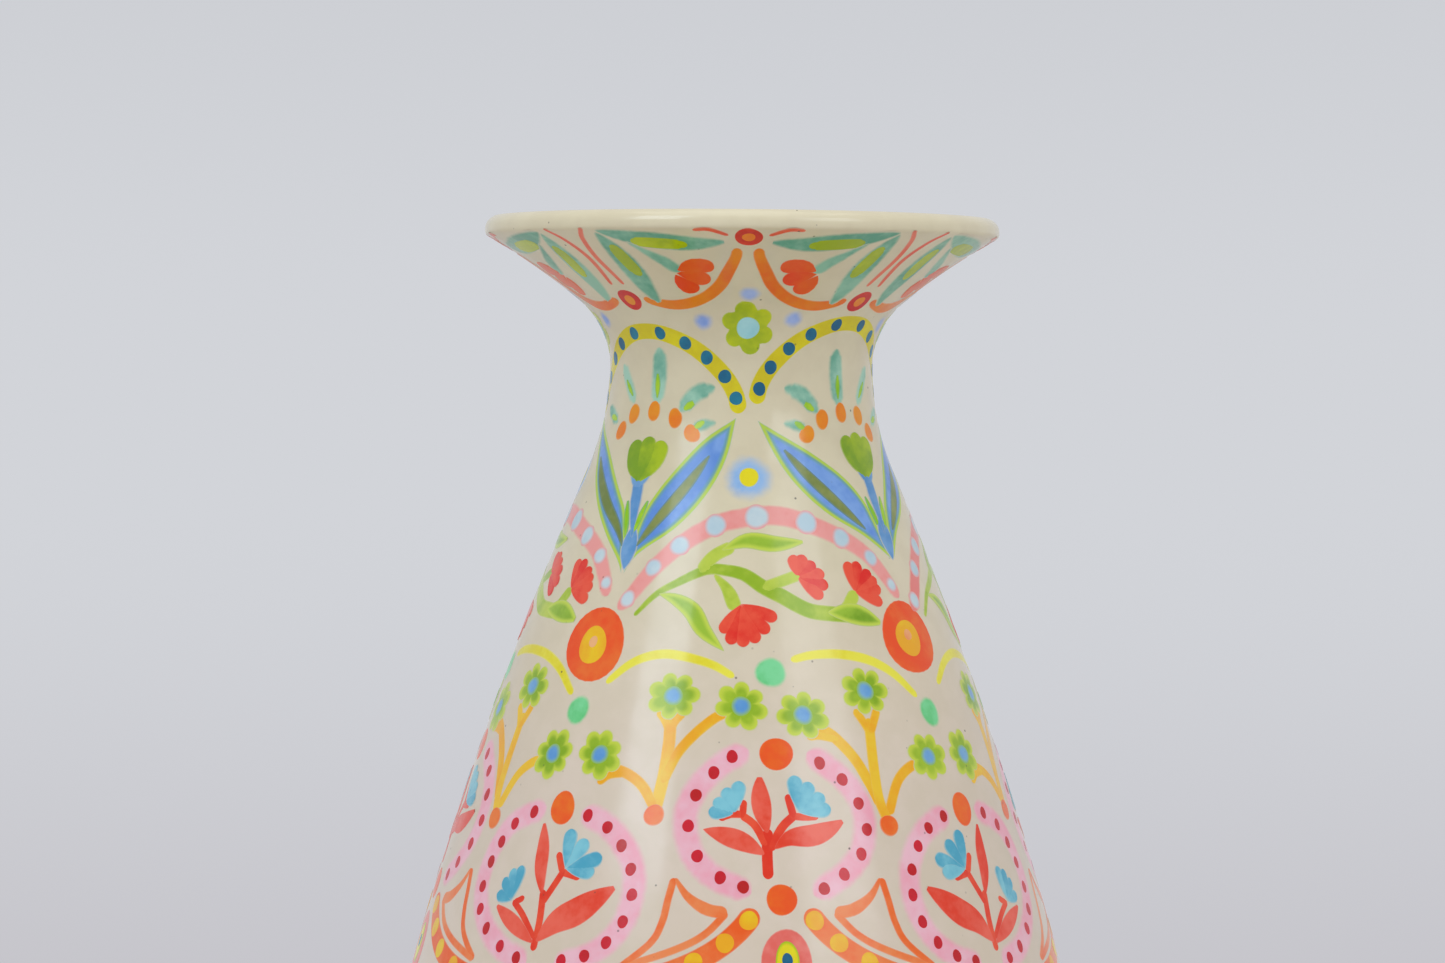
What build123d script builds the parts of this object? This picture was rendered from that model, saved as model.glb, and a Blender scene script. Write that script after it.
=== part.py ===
from build123d import *
import math
import os

# A tall pear-shaped, tin-glazed and hand-painted vase with a flared mouth.
# It stands on Z = 0 with its axis on Z, and its front faces -Y. Millimetres.
# The clay is thrown in sections that are luted together with stepped joints,
# then dipped in glaze, and the decoration is thick enamel that stands proud.

# ---- driving dimensions ----
HEIGHT = 340.0
RIM_RADIUS = 65.0          # at the corner under the lip, the widest of the mouth
WALL = 5.5                 # clay and both glazes together
GLAZE = 0.5                # thickness of the tin glaze, inside and outside
RELIEF = 0.65              # how far the enamel stands proud of the glaze
LIP_DEPTH = 4.8            # the corner under the lip lies this far below the top
LIP_BULGE = 1.2            # how far the lip's face is rounded out
LIP_BAND = 6.0             # reach of the lip's own glaze in from the rim

FOOT_HEIGHT = 7.0
FOOT_OUTER = 57.4
FOOT_INNER = 48.0
FOOT_ROUNDING = 1.6
BASE_THICKNESS = 8.0
FLOOR_TOP = FOOT_HEIGHT + BASE_THICKNESS
FLOOR_ROUNDING = 9.0

BELLY_JOINT = 92.0         # heights of the two luted joints
NECK_JOINT = 252.0
STEP = 5.0                 # overlap of a stepped joint
TONGUE_HEIGHT = 1.5        # tongue of the foot ring in the base
TONGUE_RADIUS = 53.0

# The glazed outside runs down from the lip's corner in tangent arcs: the radius
# of each, and the degrees that it turns, outward where positive.
RIM_HEADING = -61.0
BENDS = [
    (154.0, 11.0),         # the mouth's flare
    (21.0, 50.0),          # in to the waist of the neck
    (66.0, 23.0),          # out of the neck
    (1000.0, -8.0),        # the long shoulder
    (225.0, -15.0),        # down to the widest of the belly
    (112.0, -50.0),        # in to the foot
]

# ---- layout of the decoration: degrees round the vase, from the front ----
QUARTER = 90.0
RIM_CENTRE = 2.0           # the flowers and dots over the front of the mouth
NECK_CENTRE = 3.5
SHOULDER_CENTRE = 5.0      # the scallops and everything under them
SHOT = 130.0               # how far a motif outline is pushed out from the axis
FRONT = (0, -1, 0)


# ---- profile ----

def outward(heading):
    """The direction out of the wall where the profile has this heading."""
    return math.cos(math.radians(heading)), math.sin(math.radians(heading))


def tangent_arcs():
    """Each arc as its centre, signed radius and the headings at its two ends.
    The radius is negative where the arc bends outward."""
    place, heading = (RIM_RADIUS, HEIGHT - LIP_DEPTH), RIM_HEADING
    arcs = []
    for size, turn in BENDS:
        radius = math.copysign(size, -turn)
        side = outward(heading)
        centre = (place[0] - radius * side[0], place[1] - radius * side[1])
        arcs.append((centre, radius, heading, heading + turn))
        heading += turn
        side = outward(heading)
        place = (centre[0] + radius * side[0], centre[1] + radius * side[1])
    return arcs


ARCS = tangent_arcs()


def on_arc(arc, heading, depth=0.0):
    """The place on an arc at a heading, moved into the wall by depth."""
    centre, radius = arc[:2]
    side = outward(heading)
    return (centre[0] + (radius - depth) * side[0], centre[1] + (radius - depth) * side[1])


def profile(depth=0.0):
    """The outside profile moved into the wall by depth, as arcs from the top."""
    edges = []
    for arc in ARCS:
        first, last = arc[2:]
        headings = (first, (first + last) / 2, last)
        edges.append(ThreePointArc(*[on_arc(arc, heading, depth) for heading in headings]))
    return edges


def outer_radius(height, depth=0.0):
    """Radius of the profile at a height."""
    for arc in ARCS:
        centre, radius, _, last = arc
        if on_arc(arc, last, depth)[1] <= height:
            run = (radius - depth) ** 2 - (height - centre[1]) ** 2
            return centre[0] + math.copysign(math.sqrt(run), radius)


def lip_end(depth):
    return on_arc(ARCS[0], RIM_HEADING, depth)


def past_lip(depth):
    """A place beyond the lip, straight on from the end of the profile."""
    end, side = lip_end(depth), outward(RIM_HEADING)
    return (end[0] - side[1] * LIP_BAND, end[1] + side[0] * LIP_BAND)


def core_section(depth, floor):
    """Everything above a floor and nearer the axis than the profile moved in by
    depth. It runs on past the lip and up."""
    brim, toe = past_lip(depth), on_arc(ARCS[-1], ARCS[-1][3], depth)
    edges = [
        Line((brim[0], 2 * HEIGHT), brim),
        Line(brim, lip_end(depth)),
        *profile(depth),
        Line(toe, (0, toe[1])),
        Line((0, toe[1]), (0, 2 * HEIGHT)),
        Line((0, 2 * HEIGHT), (brim[0], 2 * HEIGHT)),
    ]
    return make_face(edges) & band(floor, 2 * HEIGHT)


def wall_section(cover):
    """The section of the whole wall, from the foot over the lip and down to the
    middle of the floor, with cover taken off the outside and the inside."""
    floor = FLOOR_TOP - cover
    hollow = core_section(WALL - cover, floor)
    corner = hollow.vertices().group_by(Axis.Y)[0].sort_by(Axis.X)[-1]
    wall = core_section(cover, FOOT_HEIGHT) - fillet(corner, FLOOR_ROUNDING)
    return wall & lip_limit(cover)


def lip_limit(cover):
    """Everything below the lip's rounded face, with cover taken off it."""
    outer, inner = lip_end(0), lip_end(WALL)
    side = outward(RIM_HEADING)
    bulge = LIP_BULGE - cover
    middle = (
        (outer[0] + inner[0]) / 2 - side[1] * bulge,
        (outer[1] + inner[1]) / 2 + side[0] * bulge,
    )
    foot = (outer[0] + side[0] * WALL, outer[1] + side[1] * WALL)
    edges = [
        ThreePointArc(outer, middle, inner),
        Line(inner, (0, inner[1])),
        Line((0, inner[1]), (0, 0)),
        Line((0, 0), (2 * RIM_RADIUS, 0)),
        Line((2 * RIM_RADIUS, 0), (2 * RIM_RADIUS, foot[1])),
        Line((2 * RIM_RADIUS, foot[1]), foot),
        Line(foot, outer),
    ]
    return make_face(edges)


def band(low, high, inner=0.0, outer=120.0):
    """A rectangle of the section plane, used to cut the profile."""
    return Pos(inner, low) * Rectangle(outer - inner, high - low, align=(Align.MIN, Align.MIN))


def turned(section):
    """A section turned once round the vase's axis."""
    return revolve(Plane.XZ * section, Axis.Z, 360)


# ---- clay ----

def clay_section():
    return wall_section(GLAZE)


def stepped(low, high, low_step, high_step):
    """Section mask between two joints. The inner half of the wall stands
    STEP higher than the outer half at a stepped joint."""
    mask = band(low, high)
    if low_step:
        mask -= band(low, low + STEP, outer=outer_radius(low) - WALL / 2)
    if high_step:
        mask += band(high, high + STEP, outer=outer_radius(high) - WALL / 2)
    return mask


def foot_ring():
    ring = band(0, FOOT_HEIGHT, FOOT_INNER, FOOT_OUTER)
    ring = fillet(ring.vertices().group_by(Axis.Y)[0], FOOT_ROUNDING)
    tongue = band(FOOT_HEIGHT, FOOT_HEIGHT + TONGUE_HEIGHT, TONGUE_RADIUS - 2, TONGUE_RADIUS + 1)
    return turned(ring + tongue)


def base_section():
    groove = band(FOOT_HEIGHT, FOOT_HEIGHT + TONGUE_HEIGHT, TONGUE_RADIUS - 2, TONGUE_RADIUS + 1)
    return turned((clay_section() & stepped(FOOT_HEIGHT, BELLY_JOINT, False, True)) - groove)


def shoulder_section():
    return turned(clay_section() & stepped(BELLY_JOINT, NECK_JOINT, True, True))


def neck_section():
    return turned(clay_section() & stepped(NECK_JOINT, HEIGHT, True, False))


# ---- glaze ----

LIP_LINE = HEIGHT - LIP_DEPTH - GLAZE


def glaze_section():
    """The glaze all round the clay, with the underside of the base left bare."""
    return (wall_section(0) - clay_section()) & band(FOOT_HEIGHT + GLAZE, 2 * HEIGHT)


def lip_band():
    return band(LIP_LINE, 2 * HEIGHT, RIM_RADIUS - LIP_BAND)


def outer_glaze():
    """The tin glaze outside, from the bare foot up to the corner under the lip."""
    return turned(glaze_section() - core_section(WALL / 2, 0) - lip_band())


def lip_glaze():
    """The plain band of glaze over the lip."""
    return turned(glaze_section() & lip_band())


def inner_glaze():
    """The tin glaze inside, from the lip down and over the floor."""
    return turned((glaze_section() & core_section(WALL / 2, 0)) - lip_band())


# ---- enamel: motifs are outlines seen from straight ahead of their own centre,
# ---- pushed out through a thin skin that lies on the glaze

def enamel_skin():
    """The layer that the enamel lies in, just outside the glaze."""
    toe = ARCS[-1][3]
    near, far = on_arc(ARCS[-1], toe), on_arc(ARCS[-1], toe, -RELIEF)
    edges = [
        *profile(),
        Line(near, far),
        *profile(-RELIEF),
        Line(lip_end(-RELIEF), lip_end(0)),
    ]
    return turned(make_face(edges))


skin = enamel_skin()


def spot(angle, height):
    """A place on the vase as its front view shows it."""
    return (outer_radius(height) * math.sin(math.radians(angle)), height)


def enamel(*outlines):
    """The raised enamel of one motif, from outlines that are joined."""
    pad = extrude(Plane.XZ * outlines[0], SHOT, dir=FRONT) & skin
    for outline in outlines[1:]:
        pad += extrude(Plane.XZ * outline, SHOT, dir=FRONT) & skin
    return pad


def around(pad, count, start=0.0):
    """Copies of a raised pad, evenly round the vase, kept as separate solids."""
    solids = []
    for i in range(count):
        solids += (Rot(0, 0, start + i * 360 / count) * pad).solids()
    return Compound(children=solids)


def group(*shapes):
    solids = []
    for shape in shapes:
        solids += shape.solids()
    return Compound(children=solids)


def both_sides(pad, count, start):
    """A pad and its mirror image, both repeated round the vase."""
    return group(around(pad, count, start), around(mirror(pad, Plane.YZ), count, start))


def ribbon(places, width):
    """A brush stroke: a smooth line through places, of even width, round ended."""
    line = Spline(*[spot(*place) for place in places])
    half, steps = width / 2, 10
    left, right = [], []
    for i in range(steps + 1):
        place, along = line @ (i / steps), line % (i / steps)
        side = Vector(-along.Y, along.X) * half
        left.append(place + side)
        right.append(place - side)
    far_tip = (line @ 1) + (line % 1) * half
    near_tip = (line @ 0) - (line % 0) * half
    edges = [
        Spline(*left),
        ThreePointArc(left[-1], far_tip, right[-1]),
        Spline(*right[::-1]),
        ThreePointArc(right[0], near_tip, left[0]),
    ]
    return make_face(edges)


def disc(angle, height, radius):
    return Pos(*spot(angle, height)) * Circle(radius)


def oval(angle, height, half_width, half_height):
    return Pos(*spot(angle, height)) * Ellipse(half_width, half_height)


def leaf(start, end, width):
    """A pointed leaf between two places, as two arcs."""
    root, tip = Vector(*spot(*start)), Vector(*spot(*end))
    along = (tip - root).normalized()
    side = Vector(-along.Y, along.X) * (width / 2)
    middle = (root + tip) * 0.5
    edges = [
        ThreePointArc(root, middle + side, tip),
        ThreePointArc(tip, middle - side, root),
    ]
    return make_face(edges)


def mirrored(places):
    return [(-angle, height) for angle, height in places]


def blossom(angle, height, petals, reach, petal_radius):
    """Round petals about a centre, joined into one outline."""
    x, z = spot(angle, height)
    flower = Pos(x, z) * Circle(reach)
    for i in range(petals):
        turn = math.radians(90 + i * 360 / petals)
        flower += Pos(x + reach * math.cos(turn), z + reach * math.sin(turn)) * Circle(petal_radius)
    return flower


# ---- enamel on the mouth and neck ----

def rim_dots():
    high = around(enamel(disc(0, 331.5, 3.2)), 4, RIM_CENTRE)
    low = around(enamel(disc(0, 318.0, 2.9)), 4, RIM_CENTRE + QUARTER / 2)
    return group(high, low)


def flare_arcs():
    places = [(-36, 316.3), (-24, 316.6), (-14, 318.4), (-7, 322.5), (-4, 328.0)]
    return both_sides(enamel(ribbon(places, 2.4)), 4, RIM_CENTRE)


def neck_flowers():
    return around(enamel(blossom(0, 311.0, 6, 4.0, 2.3)), 4, RIM_CENTRE)


def neck_arches():
    rise = [(-42, 294.0), (-30, 302.5), (-15, 310.0), (0, 312.6)]
    places = rise + mirrored(rise[:-1])[::-1]
    return around(enamel(ribbon(places, 3.2)), 4, NECK_CENTRE + QUARTER / 2)


def fan_dots():
    fan = [(-20, 285.0), (-10, 289.5), (1, 291.0), (12, 289.5), (21, 285.5)]
    dots = [around(enamel(disc(angle, height, 2.3)), 4, NECK_CENTRE + QUARTER / 2) for angle, height in fan]
    return group(*dots)


def neck_leaves():
    pad = enamel(leaf((1, 253.5), (37, 287.5), 8.5))
    return both_sides(pad, 4, NECK_CENTRE + QUARTER / 2)


def halo_dots():
    return around(enamel(disc(0, 274.0, 4.2)), 4, RIM_CENTRE)


# ---- enamel on the shoulder ----

def scallops():
    rise = [(-39, 247.0), (-34, 252.5), (-25, 259.0), (-13, 263.4), (0, 265.0)]
    places = rise + mirrored(rise[:-1])[::-1]
    return around(enamel(ribbon(places, 5.4)), 4, SHOULDER_CENTRE)


def vines():
    stem = ribbon([(-33, 241.5), (-23, 248.5), (-12, 251.6), (2, 246.5), (16, 241.5), (30, 238.0)], 2.6)
    fork = ribbon([(-12, 252.5), (-6, 255.5), (0, 257.0), (8, 257.0)], 3.4)
    drop = ribbon([(-22, 246.5), (-19, 240.0), (-12, 233.5)], 4.0)
    return around(enamel(stem, fork, drop), 4, SHOULDER_CENTRE)


def carnations():
    heads = [(-3, 237.5), (15, 250.5), (27, 247.0)]
    return group(*[around(enamel(disc(angle, height, 4.2)), 4, SHOULDER_CENTRE) for angle, height in heads])


def targets():
    return around(enamel(oval(0, 234.0, 9.2, 9.6)), 4, SHOULDER_CENTRE + QUARTER / 2)


def shoulder_arcs():
    places = [(-38, 221.5), (-30, 227.0), (-20, 229.6), (-8, 227.8)]
    return both_sides(enamel(ribbon(places, 2.4)), 4, SHOULDER_CENTRE)


def green_dots():
    high = around(enamel(disc(0, 226.6, 3.2)), 4, SHOULDER_CENTRE)
    low = around(enamel(disc(0, 216.5, 3.0)), 4, SHOULDER_CENTRE + QUARTER / 2)
    return group(high, low)


# ---- enamel on the belly ----

BUNCH = QUARTER / 4 + 1.5      # a bunch's foot, to either side of a high medallion
BUNCH_FOOT = (BUNCH, 192.0)
BUNCH_HEADS = [(7, 217.0), (BUNCH, 221.0), (37, 206.0)]


def bouquet_stems():
    stems = [
        ribbon([BUNCH_FOOT, (BUNCH - 4, 204.0), (BUNCH - 12, 211.0)], 2.4),
        ribbon([BUNCH_FOOT, (BUNCH + 0.5, 203.0), (BUNCH, 214.0)], 2.4),
        ribbon([BUNCH_FOOT, (BUNCH + 5, 199.0), (33, 201.5)], 2.4),
    ]
    return both_sides(enamel(*stems, disc(*BUNCH_FOOT, 2.8)), 4, SHOULDER_CENTRE)


def bouquet_flowers():
    return group(*[
        both_sides(enamel(blossom(angle, height, 5, 3.2, 2.0)), 4, SHOULDER_CENTRE)
        for angle, height in BUNCH_HEADS
    ])


MEDALLIONS = [(SHOULDER_CENTRE, 190.0), (SHOULDER_CENTRE + QUARTER / 2, 175.0)]


def medallion_rings():
    rings = []
    for centre, height in MEDALLIONS:
        side = []
        for turn in range(-66, 67, 22):
            reach = math.radians(turn)
            side.append((15.0 * math.cos(reach), height + 16.5 * math.sin(reach)))
        rings.append(both_sides(enamel(ribbon(side, 6.4)), 4, centre))
    return group(*rings)


def medallion_sprigs():
    sprigs = []
    for centre, height in MEDALLIONS:
        stem = ribbon([(0, height - 12), (0.5, height - 4), (-1, height + 1)], 2.0)
        leaves = [
            leaf((0, height - 9), (10.5, height - 1), 4.4),
            leaf((0, height - 9), (-10, height - 2), 4.4),
            leaf((-1, height), (-1, height + 11), 3.6),
        ]
        sprigs.append(around(enamel(stem, *leaves), 4, centre))
    return group(*sprigs)


def medallion_blossoms():
    blossoms = []
    for centre, height in MEDALLIONS:
        pad = enamel(blossom(7.2, height + 6, 5, 2.4, 1.5))
        blossoms.append(both_sides(pad, 4, centre))
    return group(*blossoms)


def orange_dots():
    """One over every medallion, and one under each of the high ones."""
    places = [(centre, height + 17.0) for centre, height in MEDALLIONS]
    places.append((SHOULDER_CENTRE, 172.0))
    return group(*[around(enamel(disc(0, height, 3.4)), 4, centre) for centre, height in places])


# ---- enamel on the lower belly ----

def belly_triangles():
    """Curved triangles drawn in outline between the medallions."""
    top, inner, outer = (20.5, 176.5), (10.5, 169.0), (26.0, 157.5)
    sides = [
        ribbon([top, (15, 171.5), inner], 1.8),
        ribbon([top, (22, 167.0), outer], 1.8),
        ribbon([inner, (16.5, 162.5), outer], 1.8),
    ]
    return both_sides(enamel(*sides), 4, SHOULDER_CENTRE)


def belly_garland():
    """A band that hangs from under each high medallion to the next."""
    places = [(4.8, 169.0), (11.6, 159.7), (24, 152.2), (42, 149.3)]
    return both_sides(enamel(ribbon(places, 5.2)), 4, SHOULDER_CENTRE)


def belly_seeds():
    return around(enamel(oval(0, 156.0, 6.0, 8.6)), 4, SHOULDER_CENTRE)


def belly_flowers():
    return around(enamel(blossom(0, 127.0, 6, 5.2, 2.7)), 8, SHOULDER_CENTRE + QUARTER / 4)


def lower_leaves():
    return both_sides(enamel(leaf((1, 85.0), (17, 113.0), 8.0)), 8, SHOULDER_CENTRE)


def lower_scallops():
    rise = [(-19, 68.0), (-13, 76.0), (0, 81.0)]
    places = rise + mirrored(rise[:-1])[::-1]
    return around(enamel(ribbon(places, 5.0)), 8, SHOULDER_CENTRE + QUARTER / 4)


def foot_petals():
    return around(enamel(leaf((0, 20.0), (0, 56.0), 11.0)), 16, SHOULDER_CENTRE)


def foot_line():
    near, far = outer_radius(13.0), outer_radius(13.0) + 20
    return skin & (Pos(0, 0, 12.0) * Cylinder(far, 2.0) - Pos(0, 0, 12.0) * Cylinder(near - 10, 2.0))


NODES = {
    "foot_ring": foot_ring,
    "base_section": base_section,
    "shoulder_section": shoulder_section,
    "neck_section": neck_section,
    "outer_glaze": outer_glaze,
    "lip_glaze": lip_glaze,
    "inner_glaze": inner_glaze,
    "enamel_rim_dots": rim_dots,
    "enamel_flare_arcs": flare_arcs,
    "enamel_neck_flowers": neck_flowers,
    "enamel_neck_arches": neck_arches,
    "enamel_fan_dots": fan_dots,
    "enamel_neck_leaves": neck_leaves,
    "enamel_halo_dots": halo_dots,
    "enamel_scallops": scallops,
    "enamel_vines": vines,
    "enamel_carnations": carnations,
    "enamel_targets": targets,
    "enamel_shoulder_arcs": shoulder_arcs,
    "enamel_green_dots": green_dots,
    "enamel_bouquet_stems": bouquet_stems,
    "enamel_bouquet_flowers": bouquet_flowers,
    "enamel_medallion_rings": medallion_rings,
    "enamel_medallion_sprigs": medallion_sprigs,
    "enamel_medallion_blossoms": medallion_blossoms,
    "enamel_orange_dots": orange_dots,
    "enamel_belly_triangles": belly_triangles,
    "enamel_belly_garland": belly_garland,
    "enamel_belly_seeds": belly_seeds,
    "enamel_belly_flowers": belly_flowers,
    "enamel_lower_leaves": lower_leaves,
    "enamel_lower_scallops": lower_scallops,
    "enamel_foot_petals": foot_petals,
    "enamel_foot_line": foot_line,
}

os.makedirs("parts", exist_ok=True)
for node, make in NODES.items():
    export_step(make(), f"parts/{node}.step")
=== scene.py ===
"""Looks of a tall painted pottery vase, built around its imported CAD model.

The glaze and every brush stroke of enamel are meshes laid on the vase's own profile.
Motif tables give places on the wall as (degrees, millimetres): degrees run to the right
from the front of the vase, which faces -Y, and millimetres are heights above the floor.
"""

import math

import bpy
import numpy as np
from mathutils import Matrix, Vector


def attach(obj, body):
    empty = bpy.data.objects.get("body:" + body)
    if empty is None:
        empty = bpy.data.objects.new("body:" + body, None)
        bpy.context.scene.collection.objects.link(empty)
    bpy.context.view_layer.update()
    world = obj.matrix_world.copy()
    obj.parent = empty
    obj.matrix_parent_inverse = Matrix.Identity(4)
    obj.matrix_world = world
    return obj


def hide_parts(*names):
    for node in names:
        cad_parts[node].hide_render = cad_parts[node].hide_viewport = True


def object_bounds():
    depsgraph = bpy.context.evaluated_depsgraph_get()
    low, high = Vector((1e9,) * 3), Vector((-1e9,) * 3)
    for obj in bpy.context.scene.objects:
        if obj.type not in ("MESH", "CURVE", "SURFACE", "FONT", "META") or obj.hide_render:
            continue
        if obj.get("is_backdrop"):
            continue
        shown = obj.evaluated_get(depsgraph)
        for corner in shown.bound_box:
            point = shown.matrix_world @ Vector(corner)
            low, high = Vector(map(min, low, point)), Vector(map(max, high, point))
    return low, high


MM = 0.001

# ---- the vase's profile, in millimetres
HEIGHT = 340.0
RIM_RADIUS = 65.0
LIP_DEPTH = 4.8            # the corner under the lip lies this far below the top
LIP_BULGE = 1.2
WALL = 5.5
SKIN = 0.45                # thickness of the skin of tin glaze
AXIS_GAP = 0.6             # the skin stops this short of the axis
FOOT_TOP = 7.0
FLOOR_TOP = 15.0
FLOOR_ROUNDING = 9.0
RIM_HEADING = -61.0        # direction that the wall faces at the rim, degrees above level
BENDS = [                  # radius and degrees turned, from the rim down
    (154.0, 11.0),
    (21.0, 50.0),
    (66.0, 23.0),
    (1000.0, -8.0),
    (225.0, -15.0),
    (112.0, -50.0),
]

# ---- enamel
LAYER = 0.06               # thickness of one coat of enamel
LAP = 0.004                # a stroke lies this much over the one before it
SINK = 0.05                # how far the edge of a stroke runs into the glaze
SHOULDER_WIDTH = 0.5       # a coat rounds down over this far at its edge
UNDERSIDE = -0.3           # where the back of a stroke lies, inside the glaze
TIGHTEST_BEND = 21.0       # smallest radius of the wall's profile: a wide dab's back dips under it
THINNEST = 0.02            # half width at the tip of a pointed stroke
BLEED = 0.45               # share of the soft edge that is added outside a stroke's stated size
ACROSS = np.array([-1.0, -0.93, -0.8, -0.45, 0.0, 0.45, 0.8, 0.93, 1.0])
SPOT_RINGS = np.array([0.0, 0.4, 0.7, 0.86, 0.95, 1.0])
SPOT_SIDES = 28

# ---- how the motifs are set out round the vase
QUARTER = 90.0
EIGHTH = QUARTER / 2
RIM_CENTRE = 1.4
NECK_CENTRE = 2.5
ARCH_CENTRES = [               # degrees, rise in millimetres, and which way the fan leans
    (-43.5, -0.8, 1), (49.0, 1.6, -1), (137.0, 0.4, -1), (227.0, 0.0, 1),
]
LEAF_CENTRES = [(-36.3, 0.0), (52.8, 3.0), (141.0, 1.5), (232.0, 0.5)]
TULIP_LEANS = (-3.0, 0.6)
HALO_CENTRE = 3.0
SHOULDER_CENTRE = 5.0
MEDALLION_CENTRE = 7.0
BELLY_CENTRE = 8.0

rng = np.random.default_rng(11)


# ---- profile

def outward(heading):
    """Unit vector (away from the axis, up) of a heading in degrees."""
    angle = np.radians(heading)
    return np.stack((np.cos(angle), np.sin(angle)), -1)


def walk_profile(spacing=0.9):
    """Radius, height and heading of places down the outside, rim to foot."""
    place = np.array((RIM_RADIUS, HEIGHT - LIP_DEPTH))
    heading = RIM_HEADING
    rows = []
    for size, turn in BENDS:
        radius = -math.copysign(size, turn)
        centre = place - radius * outward(heading)
        count = max(8, int(size * math.radians(abs(turn)) / spacing))
        headings = np.linspace(heading, heading + turn, count + 1)
        places = centre + radius * outward(headings)
        rows.append(np.column_stack((places, headings))[:-1])
        place, heading = places[-1], heading + turn
    rows.append(np.array([[place[0], place[1], heading]]))
    return np.vstack(rows)


WALK = walk_profile()
_RADII, _HEIGHTS, _HEADINGS = WALK[::-1].T


def radius_at(height):
    return np.interp(height, _HEIGHTS, _RADII)


def heading_at(height):
    return np.interp(height, _HEIGHTS, _HEADINGS)


def on_wall(angle, height, lift):
    """Points in metres that stand lift millimetres proud of the outside."""
    turn = np.radians(angle)
    normal = outward(heading_at(height))
    radius = radius_at(height) + lift * normal[..., 0]
    rise = height + lift * normal[..., 1]
    return np.stack((radius * np.sin(turn), -radius * np.cos(turn), rise), -1) * MM


def facing(angle, height):
    """The direction that the outside faces."""
    turn = np.radians(angle)
    out, up = np.moveaxis(outward(heading_at(height)), -1, 0)
    return np.stack((out * np.sin(turn), -out * np.cos(turn), up), -1)


def degrees_per_mm(height):
    return np.degrees(1.0 / radius_at(height))


def rise_per_mm(height):
    return np.cos(np.radians(heading_at(height)))


# ---- strokes: grids of (angle, height) with their distance from the edge

def spline(points, steps=24):
    """A smooth line through the points."""
    knots = np.array(points, float)
    if len(knots) == 2:
        return knots[0] + np.linspace(0, 1, steps + 1)[:, None] * (knots[1] - knots[0])
    padded = np.vstack((2 * knots[0] - knots[1], knots, 2 * knots[-1] - knots[-2]))
    t = np.linspace(0, 1, steps, endpoint=False)[:, None]
    runs = []
    for a, b, c, d in zip(padded, padded[1:], padded[2:], padded[3:]):
        runs.append(
            0.5 * (2 * b + (c - a) * t + (2 * a - 5 * b + 4 * c - d) * t**2
                   + (3 * b - a - 3 * c + d) * t**3)
        )
    return np.vstack(runs + [knots[-1:]])


def steps_in_mm(path):
    """Each step of a path on the wall, in millimetres to the right and up it."""
    middle = (path[1:, 1] + path[:-1, 1]) / 2
    step = np.diff(path, axis=0)
    return np.column_stack((step[:, 0] / degrees_per_mm(middle), step[:, 1] / rise_per_mm(middle)))


def even(t):
    return np.ones_like(t)


def brushed(t):
    return 0.72 + 0.28 * np.sin(np.pi * t) ** 0.6


def leaf(t):
    return np.sin(np.pi * t) ** 0.85


def full_leaf(t):
    return np.sin(np.pi * t) ** 0.55


def petal(t):
    return np.sin(np.pi / 2 * np.minimum(t * 1.35, 1.0)) ** 0.9


def slim_start(t):
    return 0.35 + 0.65 * np.minimum(t * 1.6, 1.0)


def stations(length, start_cap, end_cap):
    """Places along a stroke, closer together where its ends are rounded."""
    caps = 1 - np.cos(np.linspace(0, np.pi / 2, 6))
    inner = np.linspace(0, length, max(5, int(length / 1.1)))
    places = np.concatenate((inner, start_cap * caps, length - end_cap * caps))
    places = np.unique(np.round(np.clip(places, 0, length), 3))
    keep = np.concatenate(([True], np.diff(places) > 0.02))
    return places[keep]


def cap(distance, radius):
    """Half width that a round end allows at a distance from its tip."""
    inside = np.clip(distance, 0, radius)
    return np.where(distance < radius, np.sqrt(np.maximum(inside * (2 * radius - inside), 0)), 1e3)


def lengthened(path, reach):
    """The path, longer by reach millimetres at each end."""
    steps = steps_in_mm(path)
    start = path[0] - (path[1] - path[0]) * reach / np.hypot(*steps[0])
    end = path[-1] + (path[-1] - path[-2]) * reach / np.hypot(*steps[-1])
    return np.vstack((start, path, end))


def stroke_edges(path, width, shape):
    """The two sides of a stroke painted along a path."""
    steps = steps_in_mm(path)
    run = np.concatenate(([0], np.cumsum(np.hypot(*steps.T))))
    length = run[-1]
    start_cap, end_cap = (width / 2 * float(shape(np.array(t))) for t in (0.0, 1.0))
    places = stations(length, min(start_cap, length / 2), min(end_cap, length / 2))
    middle = np.column_stack([np.interp(places, run, path[:, k]) for k in (0, 1)])
    way = np.column_stack([np.interp(places, (run[1:] + run[:-1]) / 2, steps[:, k]) for k in (0, 1)])
    way /= np.maximum(np.hypot(*way.T), 1e-9)[:, None]
    half = width / 2 * shape(places / length)
    half = np.minimum(half, np.minimum(cap(places, start_cap), cap(length - places, end_cap)))
    half = np.maximum(half, THINNEST)
    side = np.column_stack((
        -way[:, 1] * half * degrees_per_mm(middle[:, 1]),
        way[:, 0] * half * rise_per_mm(middle[:, 1]),
    ))
    return middle - side, middle + side, half


def coat(edge, thickness):
    """Height of the enamel's surface over the glaze, rounded down at its edge."""
    inset = 1 - np.clip(edge / SHOULDER_WIDTH, 0, 1)
    return (thickness + SINK) * (1 - inset**2) - SINK


def uneven_round():
    """Distance of a round dab's edge from its middle, all the way round."""
    turn = np.linspace(0, 2 * np.pi, SPOT_SIDES, endpoint=False)
    first, second = 2 * np.pi * rng.random(2)
    return 1 + 0.025 * np.sin(2 * turn + first) + 0.02 * np.sin(3 * turn + second)


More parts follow.
